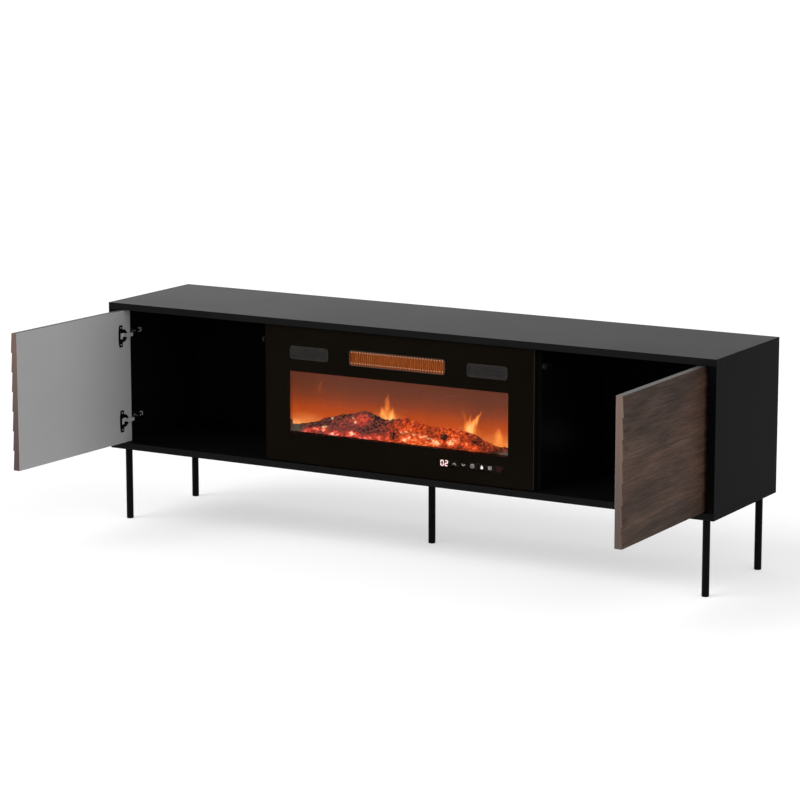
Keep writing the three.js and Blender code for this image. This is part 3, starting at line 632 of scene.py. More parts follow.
@dataclass(frozen=True)
class GlowFinish(Finish):
    """A lit display mark that shines by itself, or the heater's copper and beads with a painted glow, uneven in fine
    lines.
    """

    colour: Colour
    second: Colour
    base: Colour
    strength: float = 1.0
    lines: Point = (1, 1, 1)
    scale: float = 200.0

    def wire(self, w: ShaderWiring, surface: Node) -> None:
        """Wire the glow's two tones.

        Args:
            w: The material's wiring.
            surface: Its Principled BSDF.
        """
        share = w.spread(w.noise(w.place(self.lines), self.scale, 2.0), 0.3, 0.7)
        glow = w.mixed(share, self.colour, self.second)
        w.join(surface, Base_Color=w.mixed(share, self.base, self.second), Emission_Color=glow,
               Emission_Strength=self.strength, Roughness=w.spread(share, 0.0, 1.0, 0.35, 0.5),
               Specular_IOR_Level=0.12)


@dataclass(frozen=True)
class EmberFinish(Finish):
    """Moulded coals and bark lit from inside: glowing cracks between dark crusts."""

    glows: tuple[Spot, ...]
    darks: tuple[Spot, ...]
    sparks: tuple[Spot, ...]
    ash: tuple[Spot, ...]
    turn_from: float = -0.12
    turn_to: float = 0.02
    bark: float = 0.5
    strength: float = 1.0

    def wire(self, w: ShaderWiring, surface: Node) -> None:
        """Wire heat from the glows, cracked and mottled, with ash, sparks and bark.

        Args:
            w: The material's wiring.
            surface: Its Principled BSDF.
        """
        where = w.place()
        axes = w.split(where)
        warp = w.noise(where, 60.0, 3.0)
        shift = w.times(w.minus(warp, 0.5), 0.02)
        across = w.plus(axes[0], shift)
        up = w.plus(axes[2], w.times(shift, 0.7))
        heat = w.total([spot.wire(w, across, up) for spot in self.glows])
        crust = w.total([spot.wire(w, across, up) for spot in self.darks])
        vein = w.spread(w.cells((1, 1, 1.6), 85.0), 0.02, 0.16, 1.0, 0.0)
        mottle = w.noise(where, 115.0, 5.0, 0.6)
        fine = w.noise(where, 420.0, 3.0, 0.6)
        coarse = w.spread(mottle, 0.32, 0.68)
        crest = w.add("ShaderNodeAttribute", attribute_name="crest").outputs["Fac"]
        bark = w.times(w.spread(crest, 0.45, 0.95), self.bark)
        level = w.times(heat, w.plus(0.5, w.times(coarse, 0.75)))
        level = w.plus(level, 0.07)
        level = w.plus(level, w.times(vein, w.times(coarse, 0.22)))
        level = w.minus(level, w.times(w.minus(1.0, vein), 0.06))
        level = w.minus(level, w.times(bark, w.spread(fine, 0.35, 0.6, 0.1, 0.36)))
        level = w.minus(level, w.times(crust, 0.8))
        level = w.plus(level, w.times(w.minus(fine, 0.5), 0.16))
        warm = w.ramp(level, [
            (0.0, tone(30, 13, 8)), (0.12, tone(96, 34, 16)), (0.3, tone(170, 52, 16)),
            (0.5, tone(214, 76, 24)), (0.7, tone(240, 112, 52)), (0.88, tone(250, 168, 118)),
            (1.0, tone(255, 224, 190))])
        cool = w.ramp(level, [
            (0.0, tone(34, 20, 20)), (0.12, tone(92, 50, 46)), (0.3, tone(144, 46, 36)),
            (0.5, tone(196, 62, 48)), (0.7, tone(226, 88, 66)), (0.88, tone(246, 150, 124)),
            (1.0, tone(255, 218, 196))])
        colour = w.mixed(w.spread(axes[0], self.turn_from, self.turn_to), cool, warm)
        flecks = w.out("ShaderNodeTexVoronoi", {"Vector": w.place((1, 1, 1.4)), "Scale": 170.0})
        fleck = w.times(w.spread(flecks, 0.14, 0.34, 1.0, 0.0), w.spread(mottle, 0.47, 0.58))
        rim = w.times(fleck, w.spread(crest, 0.45, 0.9, 0.08, 0.85))
        colour = w.mixed(rim, colour, tone(232, 142, 62))
        near = w.total([spot.wire(w, across, up) for spot in self.sparks])
        spark = w.times(near, w.spread(mottle, 0.4, 0.54, 0.15, 1.0))
        colour = w.mixed(w.math("MINIMUM", spark, 1.0), colour, tone(255, 216, 156))
        dust = w.total([spot.wire(w, axes[0], axes[2]) for spot in self.ash])
        grey = w.mixed(w.spread(fine, 0.3, 0.7), tone(52, 46, 40), tone(96, 88, 78))
        colour = w.mixed(w.math("MINIMUM", w.times(dust, 1.6), 1.0), colour, grey)
        w.join(surface, Base_Color=w.mixed(0.85, colour, tone(16, 9, 7)), Emission_Color=colour,
               Emission_Strength=self.strength, Roughness=w.spread(fine, 0.3, 0.7, 0.7, 0.95),
               Specular_IOR_Level=0.1, Normal=bumped(w, w.plus(mottle, vein), 0.0006))


@dataclass(frozen=True)
class Tongue:
    """A flame on the screen: its foot, height, width, lean and strength."""

    across: float
    up: float
    height: float
    width: float
    lean: float
    strength: float

    def wire(self, w: ShaderWiring, across: Socket, up: Socket) -> Socket:
        """Place the flame by the sockets of the place across and up."""
        return w.group(
            flame_tongue(), Across=across, Up=up, Foot_Across=self.across, Foot_Up=self.up,
            Height=self.height, Width=self.width, Lean=self.lean, Strength=self.strength)["Mask"]


@dataclass(frozen=True)
class FlameFinish(Finish):
    """The lit rear screen: a glow that falls off upwards, with flames over it."""

    tongues: tuple[Tongue, ...]
    glows: tuple[Spot, ...]
    bottom: float
    top: float
    strength: float = 1.0

    def wire(self, w: ShaderWiring, surface: Node) -> None:
        """Wire the glow, the side glows and the flames.

        Args:
            w: The material's wiring.
            surface: Its Principled BSDF.
        """
        where = w.place()
        axes = w.split(where)
        smoke = w.noise(w.place((1, 1, 0.45)), 9.0, 3.0)
        drift = w.times(w.minus(smoke, 0.5), 0.035)
        height = w.spread(w.plus(axes[2], drift), self.bottom, self.top)
        ground = w.ramp(height, [
            (0.0, tone(208, 86, 24)), (0.28, tone(170, 66, 20)), (0.5, tone(130, 56, 28)),
            (0.75, tone(104, 51, 31)), (1.0, tone(92, 47, 32))])
        glow = w.total([spot.wire(w, axes[0], axes[2]) for spot in self.glows])
        ground = w.mixed(w.math("MINIMUM", glow, 1.0), ground, tone(248, 158, 88))
        sway = w.noise(w.place((1, 1, 0.5)), 70.0, 2.0)
        across = w.plus(axes[0], w.times(w.minus(sway, 0.5), 0.014))
        flames = w.total([tongue.wire(w, across, axes[2]) for tongue in self.tongues])
        lick = w.noise(w.place((1, 1, 0.3)), 160.0, 2.0)
        flames = w.times(flames, w.spread(lick, 0.2, 0.6, 0.65, 1.0))
        bright = w.ramp(w.math("MINIMUM", flames, 1.0), [
            (0.0, tone(190, 84, 30)), (0.35, tone(224, 112, 44)), (0.7, tone(244, 150, 68)),
            (1.0, tone(252, 196, 120))])
        colour = w.mixed(w.spread(flames, 0.0, 0.6), ground, bright)
        w.join(surface, Base_Color=w.mixed(0.9, colour, tone(10, 8, 8)), Emission_Color=colour,
               Emission_Strength=self.strength, Roughness=w.spread(smoke, 0.3, 0.7, 0.5, 0.6),
               Specular_IOR_Level=0.1)


@dataclass(frozen=True)
class CircuitFinish(Finish):
    """A solder-masked board with lighter tracks in it."""

    board: Colour
    track: Colour

    def wire(self, w: ShaderWiring, surface: Node) -> None:
        """Wire square tracks over the board."""
        share = w.spread(w.cells((1, 1, 1), 160.0, 0.7), 0.02, 0.06, 1.0, 0.0)
        w.join(surface, Base_Color=w.mixed(share, self.board, self.track),
               Roughness=w.spread(share, 0.0, 1.0, 0.45, 0.3), Normal=bumped(w, share, 0.00003))


class Paint:
    """The finishes of the cabinet, by what they are used on."""

    # The first three finishes are copies of one black laminate. The top one, lighter and glossier, is a painted sheen
    # on the top board's upper face. The edging one, lighter, is painted light on the front edges of the top and
    # bottom boards. The plain one is the darker copy, painted shade on the side panels and the partitions.
    TOP = CoatedFinish("black_top_laminate", (0.0043, 0.0043, 0.0045, 1), (0.0048, 0.0048, 0.005, 1), 0.32, 0.03,
                       1100.0, 0.00001, 3.0, 0.008, 0.06)
    LAMINATE = CoatedFinish("black_laminate", (0.0032, 0.0032, 0.0033, 1), (0.0037, 0.0037, 0.0038, 1), 0.36, 0.01,
                            1100.0, 0.00001, 3.0, 0.01)
    EDGING = CoatedFinish("black_edging", (0.007, 0.0069, 0.0068, 1), (0.0084, 0.0082, 0.008, 1), 0.4, 0.04,
                          700.0, 0.00001, 12.0, 0.03)
    HARDBOARD = CoatedFinish("dark_hardboard", (0.0018, 0.0017, 0.0016, 1), (0.0034, 0.0031, 0.0028, 1), 0.8, 0.02,
                             500.0, 0.00008, 30.0, 0.08)
    POWDER = CoatedFinish("black_powder_coat", (0.0022, 0.0022, 0.0023, 1), (0.0034, 0.0034, 0.0035, 1), 0.42, 0.04,
                          1600.0, 0.00004, 20.0, 0.05)
    HINGE_BLACK = CoatedFinish("black_hinge_steel", (0.0025, 0.0025, 0.0025, 1), (0.004, 0.004, 0.004, 1), 0.4, 0.05,
                               900.0, 0.00002, 60.0, 0.06)
    PLASTIC = CoatedFinish("moulded_black", (0.003, 0.003, 0.0031, 1), (0.0045, 0.0045, 0.0046, 1), 0.5, 0.06,
                           1400.0, 0.00003, 25.0, 0.06)
    GRILLE = CoatedFinish("grey_grille", tone(42, 40, 39), tone(50, 48, 46), 0.55, 0.05, 1400.0, 0.00003, 60.0)
    LOUVRE = CoatedFinish("grey_louvre", tone(54, 52, 51), tone(64, 62, 60), 0.5, 0.05, 1400.0, 0.00003, 60.0)
    GREY_PLASTIC = CoatedFinish("moulded_grey", tone(30, 30, 32), tone(36, 36, 38), 0.5, 0.08, 1200.0, 0.00003)
    # The door's inside grey, with painted shade beside the hinges.
    DOOR_INSIDE = InsideFinish("grey_door_inside", tone(177, 176, 177), tone(183, 182, 183), 0.55, 0.1,
                               800.0, 0.00002, 3.0, 0.04, hinge=tone(162, 161, 161))
    PRINT = CoatedFinish("printed_glass", (0.005, 0.0036, 0.002, 1), (0.0068, 0.0049, 0.003, 1), 0.12, 0.01,
                         400.0, 0.000002, 3.0, 0.02)
    PANEL = CoatedFinish("black_panel_film", (0.0076, 0.0057, 0.0039, 1), (0.0082, 0.0061, 0.0043, 1), 0.6, 0.0)
    CASING = CoatedFinish("dark_casing_paint", (0.012, 0.012, 0.0125, 1), (0.017, 0.017, 0.0175, 1), 0.5, 0.2,
                          1500.0, 0.00006, 18.0, 0.06)
    BEZEL = CoatedFinish("brown_bezel", tone(72, 58, 50), tone(84, 70, 62), 0.5, 0.06, 900.0, 0.00002, 60.0)
    # A darker copy of the plated metal: painted shade on hinge and latch parts that sit in the cabinet's shade. The
    # half-diffuse nickel below is the lighter copy, painted light.
    DARK_STEEL = MetalFinish("dark_plated_steel", tone(96, 96, 96), tone(78, 78, 78), 0.28, (1, 0.2, 1))
    MIRROR = MetalFinish("polished_reveal", tone(225, 220, 215), tone(210, 204, 198), 0.12, (1, 1, 1))
    NICKEL = MetalFinish("bright_nickel", tone(222, 221, 218), tone(196, 196, 196), 0.36, (1, 0.2, 1), metal=0.45)
    SCREW = MetalFinish("plated_screw", tone(222, 221, 216), tone(180, 180, 176), 0.35, metal=0.6)
    GALVANISED = MetalFinish("galvanised_sheet", tone(150, 154, 156), tone(122, 127, 130), 0.42, spangle=True)
    ALUMINIUM = MetalFinish("drawn_aluminium", tone(176, 178, 180), tone(150, 152, 155), 0.35, (0.1, 1, 1))
    FOIL = MetalFinish("bright_foil", tone(210, 210, 206), tone(196, 194, 188), 0.14, (1, 1, 1), 90.0, 0.0004)
    # The heater's copper, its back and its beads glow as painted light, to look lit inside the dark outlet.
    COPPER = GlowFinish("warm_copper", tone(128, 60, 22), tone(144, 76, 30), tone(96, 44, 14), 0.45,
                        (1, 1, 0.08), 420.0)
    COPPER_BACK = GlowFinish("deep_copper", tone(104, 44, 16), tone(116, 52, 20), tone(70, 32, 12), 0.5, (1, 1, 0.2))
    BEAD = GlowFinish("pale_bead", tone(226, 186, 160), tone(196, 154, 128), tone(170, 146, 130), 0.5)
    DIGIT = GlowFinish("lit_digit", tone(255, 222, 222), tone(255, 204, 206), tone(220, 200, 200), 1.0)
    ICON = GlowFinish("lit_icon", tone(190, 188, 186), tone(176, 174, 172), tone(90, 90, 90), 0.75)
    FLAME_ICON = GlowFinish("lit_flame_icon", tone(224, 222, 220), tone(210, 208, 206), tone(200, 200, 200), 0.9)
    POWER = GlowFinish("dim_red_mark", tone(96, 20, 18), tone(80, 16, 14), tone(40, 10, 10), 0.7)
    GLASS = GlassFinish("clear_front_glass", (0.985, 0.98, 0.965, 1), (0.995, 0.99, 0.98, 1), 1.07)
    GLASS_EDGE = CoatedFinish("ground_glass_edge", tone(66, 62, 52), tone(76, 72, 60), 0.4, 0.2, 900.0, 0.00002, 50.0)
    CIRCUIT = CircuitFinish("green_circuit", tone(14, 48, 30), tone(40, 84, 50))


# Three copies of one door edging in painted light. The side edges of the right door and of the left door are lighter
# than the decor, as lit from the front. The ends of both are in a tone of their own.
LIT_EDGE_RIGHT = EdgingFinish("pale_door_edging", tone(126, 105, 92), tone(90, 75, 71), 0.22, 0.58)
EDGE_ENDS = EdgingFinish("door_end_edging", tone(66, 61, 58), tone(58, 54, 51), 0.22, 0.58)
LIT_EDGE_LEFT = EdgingFinish("door_edging", tone(116, 95, 85), tone(84, 66, 66), 0.22, 0.58)

WOOD_TONES = {
    "dark": tone(48, 36, 30), "middle": tone(72, 56, 47), "light": tone(96, 76, 63), "reddish": tone(86, 61, 50),
}


# Meshes


def linked(name: str, data: bpy.types.ID) -> Object:
    """Put a new object in the scene.

    Args:
        name: Its name.
        data: Its mesh, light or camera.

    Returns:
        The object.
    """
    made = bpy.data.objects.new(name, data)
    bpy.context.scene.collection.objects.link(made)
    return made


def evaluated(mesh: Mesh, add: Callable[[Object], None]) -> Mesh:
    """Run modifiers on a mesh and keep the result.

    Args:
        mesh: The mesh to start from.
        add: Adds the modifiers to the scratch object.

    Returns:
        A new plain mesh.
    """
    scratch = linked("scratch", mesh)
    add(scratch)
    graph = bpy.context.evaluated_depsgraph_get()
    result = bpy.data.meshes.new_from_object(
        scratch.evaluated_get(graph), preserve_all_data_layers=True, depsgraph=graph)
    scratch.modifiers.clear()
    bpy.data.objects.remove(scratch)
    return result


def rounded(mesh: Mesh, width: float = FINE_EDGE, segments: int = 2) -> Mesh:
    """Round a mesh's sharp edges and shade it smoothly with its flats kept flat.

    Args:
        mesh: A merged mesh.
        width: The width of the rounding.
        segments: The faces across it.

    Returns:
        A new mesh.
    """
    mesh.shade_smooth()

    def add(scratch: Object) -> None:
        """Add the rounding and the weighted normals.

        Args:
            scratch: The object to add them to.
        """
        bevel = scratch.modifiers.new("edges", "BEVEL")
        bevel.loop_slide = False
        bevel.width = width
        bevel.segments = segments
        bevel.limit_method = "ANGLE"
        bevel.angle_limit = EDGE_ANGLE
        normals = scratch.modifiers.new("normals", "WEIGHTED_NORMAL")
        normals.keep_sharp = True

    return evaluated(mesh, add)


@contextmanager
def reworked(mesh: Mesh) -> Iterator[bmesh.types.BMesh]:
    """Open a mesh for changes, and write them back after them.

    Args:
        mesh: The mesh.

    Yields:
        Its points, edges and faces.
    """
    built = bmesh.new()
    built.from_mesh(mesh)
    yield built
    built.to_mesh(mesh)
    built.free()


def merged_copy(node: str) -> Mesh:
    """Copy a CAD node's mesh with its loose triangles joined at their corners.

    Args:
        node: The node's name.

    Returns:
        A new closed mesh with no materials.
    """
    mesh = NODES[node].data.copy()
    mesh.materials.clear()
    with reworked(mesh) as built:
        bmesh.ops.remove_doubles(built, verts=built.verts, dist=MERGE)
    for name in [layer.name for layer in mesh.uv_layers]:
        mesh.uv_layers.remove(mesh.uv_layers[name])
    return mesh


def softened(node: str, width: float = FINE_EDGE, segments: int = 2) -> Mesh:
    """Copy a CAD node with its edges rounded."""
    return rounded(merged_copy(node), width, segments)


def smoothed(mesh: Mesh, angle: float = EDGE_ANGLE) -> Mesh:
    """Shade a mesh smoothly but for the edges sharper than an angle.

    Args:
        mesh: The mesh.
        angle: The angle.

    Returns:
        The same mesh.
    """
    mesh.shade_smooth()
    mesh.set_sharp_from_angle(angle=angle)
    return mesh


def mesh_of(points: Sequence[Point], faces: Sequence[Sequence[int]]) -> Mesh:
    """Make a mesh of points and faces, with its faces outward.

    Args:
        points: The points, in metres.
        faces: The faces, as numbers of points.

    Returns:
        The mesh.
    """
    mesh = bpy.data.meshes.new("piece")
    mesh.from_pydata([tuple(p) for p in points], [], [tuple(f) for f in faces])
    with reworked(mesh) as built:
        bmesh.ops.recalc_face_normals(built, faces=built.faces)
    return mesh


def spanned(rings: Sequence[Sequence[int]]) -> list[list[int]]:
    """Span the faces between each closed ring of points and the next.

    Args:
        rings: The rings, as numbers of points, one of a single point being a tip.

    Returns:
        The faces, in order around each ring.
    """
    faces = []
    for low, high in zip(rings, rings[1:]):
        for k in range(max(len(low), len(high))):
            ring = [low[k % len(low)], low[(k + 1) % len(low)], high[(k + 1) % len(high)], high[k % len(high)]]
            face = list(dict.fromkeys(ring))
            if len(face) > 2:
                faces.append(face)
    return faces


def led_around(points: Sequence[Point], count: int) -> Mesh:
    """Close a section of so many points, placed again and again, into a smooth ring."""
    rings = [range(k, k + count) for k in range(0, len(points), count)]
    return smoothed(mesh_of(points, spanned(rings + rings[:1])))


def lathed(profile: Sequence[Flat], sides: int, centre: Point = (0, 0, 0)) -> Mesh:
    """Turn a closed outline of radius and height around a vertical axis.

    Args:
        profile: The outline, from a point on the axis to another one on it.
        sides: The faces around.
        centre: The foot of the axis.

    Returns:
        The mesh, smooth.
    """
    points, rings = [], []
    for radius, height in profile:
        count = sides if radius > 0 else 1
        rings.append(list(range(len(points), len(points) + count)))
        for k in range(count):
            angle = 2 * math.pi * k / sides
            points.append((centre[0] + radius * math.cos(angle), centre[1] + radius * math.sin(angle),
                           centre[2] + height))
    return smoothed(mesh_of(points, spanned(rings)), LATHE_ANGLE)


def ring_mesh(section: Sequence[Flat], sides: int) -> Mesh:
    """Turn a closed section of radius and height around Z.

    Args:
        section: The section's points in order, none on the axis.
        sides: The faces around.

    Returns:
        The mesh, smooth.
    """
    turns = [math.tau * k / sides for k in range(sides)]
    return led_around([(r * math.cos(a), r * math.sin(a), h) for a in turns for r, h in section], len(section))


def slabs(outlines: Sequence[Sequence[Flat]], front: float, back: float) -> Mesh:
    """Push flat outlines of X and Z back along Y, as one mesh.

    Args:
        outlines: The outlines, each of three points or more.
        front: The Y of their front.
        back: The Y of their back.

    Returns:
        The mesh of one closed prism for each outline.
    """
    points, faces = [], []
    for outline in outlines:
        start, middle = len(points), len(points) + len(outline)
        points += [(x, y, z) for y in (front, back) for x, z in outline]
        ends = [range(start, middle), range(middle, len(points))]
        faces += [ends[0], ends[1][::-1], *spanned(ends)]
    return mesh_of(points, faces)


def framed(low: Vector, high: Vector, corner: float, section: Sequence[Flat], steps: int = 6) -> Mesh:
    """Lead a closed section around a rounded rectangle of X and Z.

    Args:
        low: The rectangle's lowest corner.
        high: Its highest corner.
        corner: The radius of its corners.
        section: The section's points in order, each how far it lies inside the rectangle and its Y.
        steps: The faces around each corner.

    Returns:
        The mesh, with the number of each face's side of the section as its material slot.
    """
    centre = ((low.x + high.x) / 2, (low.z + high.z) / 2)
    half = ((high.x - low.x) / 2, (high.z - low.z) / 2)
    points = []
    for quarter in range(4):
        for k in range(steps + 1):
            angle = math.pi / 2 * (quarter + k / steps)
            way = (math.cos(angle), math.sin(angle))
            signs = ((1, 1), (-1, 1), (-1, -1), (1, -1))[quarter]
            for inset, y in section:
                radius = max(corner - inset, 0.0004)
                x, z = (centre[n] + signs[n] * (half[n] - inset - radius) + radius * way[n] for n in (0, 1))
                points.append((x, y, z))
    mesh = led_around(points, len(section))
    mesh.polygons.foreach_set("material_index", [k % len(section) for k in range(len(points))])
    return mesh


def box_mesh(low: Point, high: Point) -> Mesh:
    """A box between two corners, to be rounded or cut."""
    corners = [(low[0], low[2]), (high[0], low[2]), (high[0], high[2]), (low[0], high[2])]
    return slabs([corners], low[1], high[1])


def joined(meshes: Sequence[Mesh]) -> Mesh:
    """Put several meshes together in one.

    Args:
        meshes: The meshes.

    Returns:
        A new mesh.
    """
    whole = meshes[0].copy()
    with reworked(whole) as built:
        for mesh in meshes[1:]:
            built.from_mesh(mesh)
    return whole


def carved(mesh: Mesh, tool: Mesh) -> Mesh:
    """Cut one mesh out of another.

    Args:
        mesh: What is cut.
        tool: What is taken away.

    Returns:
        A new mesh.
    """
    cutter = linked("cutter", tool)

    def add(scratch: Object) -> None:
        """Add the cut.

        Args:
            scratch: The object to add it to.
        """
        cut = scratch.modifiers.new("cut", "BOOLEAN")
        cut.operation = "DIFFERENCE"
        cut.solver = "EXACT"
        cut.object = cutter

    result = evaluated(mesh, add)
    bpy.data.objects.remove(cutter)
    with reworked(result) as built:
        bmesh.ops.triangulate(built, faces=built.faces)
    return result


def seat(name: str, mesh: Mesh, finishes: Sequence[Finish] = (), stands_for: Sequence[str] = (),
         body: Body = Body.CABINET) -> None:
    """Put a finished mesh on its body.

    Args:
        name: The piece's name.
        mesh: Its mesh, in place.
        finishes: Its finishes in the order of its slots; none where the mesh has its own.
        stands_for: The CAD nodes that it replaces.
        body: The body that it rides on.
    """
    mesh.name = name
    if finishes:
        places = [face.material_index for face in mesh.polygons]
        mesh.materials.clear()
        for finish in finishes:
            mesh.materials.append(finish.material())
        mesh.polygons.foreach_set("material_index", places)
    piece = linked(name, mesh)
    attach(piece, body.value)
    if stands_for:
        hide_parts(*stands_for)
    LOG.info("%s: %d faces on %s", name, len(mesh.polygons), body.value)


def recut(node: str, kind: str, edge: float, finish: Finish, segments: int = 2) -> None:
    """Seat a node's rounded copy in its place, named for the node and its kind."""
    seat(f"{node}_{kind}", softened(node, edge, segments), [finish], [node])


def dress(finish: Finish, *nodes: str) -> None:
    """Give CAD nodes a finish.

    Args:
        finish: Their finish.
        nodes: The nodes' names.
    """
    for node in nodes:
        NODES[node].data.materials.clear()
        NODES[node].data.materials.append(finish.material())
        LOG.info("%s: CAD node in %s", node, finish.name)


# Geometry Nodes


class GeometryTree:
    """A Geometry Nodes tree with named inputs, run once to make a plain mesh."""

    def __init__(self, name: str, inputs: dict[str, tuple[str, object]]) -> None:
        """Start the tree.

        Args:
            name: The tree's name.
            inputs: Its inputs: name to socket type and first value.
        """
        self.tree = bpy.data.node_groups.new(name, "GeometryNodeTree")
        self.tree.interface.new_socket("Geometry", in_out="INPUT", socket_type="NodeSocketGeometry")
        self.tree.interface.new_socket("Geometry", in_out="OUTPUT", socket_type="NodeSocketGeometry")
        for key, (kind, value) in {**inputs, "Material": ("Material", None)}.items():
            socket = self.tree.interface.new_socket(key, in_out="INPUT", socket_type=f"NodeSocket{kind}")
            if value is not None:
                socket.default_value = value
        self.w = Wiring(self.tree)
        self.given = self.w.add("NodeGroupInput").outputs

    def close(self, geometry: Socket) -> None:
        """End the tree in Realize Instances and Set Material.

        Args:
            geometry: The socket of what was made.
        """
        solid = self.w.out("GeometryNodeRealizeInstances", {0: geometry})
        done = self.w.out("GeometryNodeSetMaterial", {"Geometry": solid, "Material": self.given["Material"]})
        self.w.add("NodeGroupOutput", {0: done})

    def copy_onto(self, points: Socket, **ways: Socket) -> None:
        """End the tree in copies of its input Piece on points, turned or sized.

        Args:
            points: Where they go.
            ways: Their Rotation and Scale.
        """
        piece = self.w.add("GeometryNodeObjectInfo", {"Object": self.given["Piece"]}).outputs["Geometry"]
        self.close(self.w.out("GeometryNodeInstanceOnPoints", {"Points": points, "Instance": piece, **ways}))

    def run(self, finish: Finish, base: Mesh | None = None, **values: object) -> Mesh:
        """Run the tree.

        Args:
            finish: The finish of what it makes.
            base: The mesh that goes in, where the tree needs one.
            values: Its inputs, with underscores for spaces.

        Returns:
            A new plain mesh.
        """
        named = {key.replace("_", " "): value for key, value in values.items()}
        named["Material"] = finish.material()
        sockets = {item.name: item.identifier for item in self.tree.interface.items_tree if item.in_out == "INPUT"}

        def add(scratch: Object) -> None:
            """Add the tree with its inputs set by identifier.

            Args:
                scratch: The object to add it to.
            """
            modifier = scratch.modifiers.new("tree", "NODES")
            modifier.node_group = self.tree
            for key, value in named.items():
                modifier[sockets[key]] = value

        return evaluated(base or bpy.data.meshes.new("empty"), add)


class Copies(GeometryTree):
    """Copies of one piece on points, each facing the way that its point says."""

    def __init__(self) -> None:
        """Build the tree."""
        super().__init__("copies_on_points", {"Piece": ("Object", None), "Turn Seed": ("Int", SEED)})
        w, given = self.w, self.given
        facing = w.out("GeometryNodeInputNamedAttribute", {"Name": "facing"}, data_type="FLOAT_VECTOR")
        aimed = w.out("FunctionNodeAlignRotationToVector", {"Vector": facing}, axis="Z")
        spin = w.add("FunctionNodeRandomValue", {"Seed": given["Turn Seed"], 3: math.pi}, data_type="FLOAT")
        turn = w.out("FunctionNodeAxisAngleToRotation", {"Axis": (0, 0, 1), "Angle": spin.outputs[1]})
        both = w.out("FunctionNodeRotateRotation", {"Rotation": aimed, "Rotate By": turn}, rotation_space="LOCAL")
        self.copy_onto(given["Geometry"], Rotation=both)

    def place(self, finish: Finish, piece: Mesh, places: Sequence[tuple[Point, Point]]) -> Mesh:
        """Put copies at places.

        Args:
            finish: Their finish.
            piece: The mesh to copy, along its own Z.
            places: The point and the direction of each copy.

        Returns:
            The copies as one mesh.
        """
        points = bpy.data.meshes.new("points")
        points.from_pydata([point for point, _ in places], [], [])
        facing = points.attributes.new("facing", "FLOAT_VECTOR", "POINT")
        facing.data.foreach_set("vector", [c for _, way in places for c in way])
        with Pattern(piece) as model:
            return self.run(finish, points, Piece=model)


class Row(GeometryTree):
    """An even row of copies of one piece, as ribs, slats and beads."""

    def __init__(self) -> None:
        """Build the tree."""
        super().__init__("even_row", {
            "Piece": ("Object", None), "Count": ("Int", 10), "First": ("Vector", (0.0, 0.0, 0.0)),
            "Step": ("Vector", (0.01, 0.0, 0.0))})
        given = self.given
        line = {"Count": given["Count"], "Start Location": given["First"], "Offset": given["Step"]}
        self.copy_onto(self.w.out("GeometryNodeMeshLine", line, mode="OFFSET"))

    def lay(self, finish: Finish, piece: Mesh, count: int, first: Point, last: Point) -> Mesh:
        """Lay a row between two points.

        Args:
            finish: The copies' finish.
            piece: The mesh to copy, around the origin.
            count: The number of copies, two or more.
            first: Where the first one goes.
            last: Where the last one goes.

        Returns:
            The row as one mesh.
        """
        step = (Vector(last) - Vector(first)) / (count - 1)
        with Pattern(piece) as model:
            return self.run(finish, None, Piece=model, Count=count, First=Vector(first), Step=step)


class Scatter(GeometryTree):
    """Chips thrown over a surface, each turned and sized by a fixed seed."""

    def __init__(self) -> None:
        """Build the tree."""
        super().__init__("scattered_chips", {
            "Piece": ("Object", None), "Density": ("Float", 20000.0), "Smallest": ("Float", 0.5),
            "Largest": ("Float", 1.3), "Seed": ("Int", SEED)})
        w, given, seed = self.w, self.given, self.given["Seed"]
        points = w.out("GeometryNodeDistributePointsOnFaces", {
            "Mesh": given["Geometry"], "Density": given["Density"], "Seed": seed})
        size = w.add("FunctionNodeRandomValue", {"Seed": seed, 2: given["Smallest"], 3: given["Largest"]},
                     data_type="FLOAT")
        turn = w.out("FunctionNodeRandomValue", {"Seed": seed, 1: (math.tau,) * 3}, data_type="FLOAT_VECTOR")
        self.copy_onto(points, Rotation=turn, Scale=size.outputs[1])

    def over(self, finish: Finish, piece: Mesh, surface: Mesh, density: float) -> Mesh:
        """Throw so many chips to the square metre over a surface."""
        with Pattern(piece) as model:
            return self.run(finish, surface, Piece=model, Density=density)


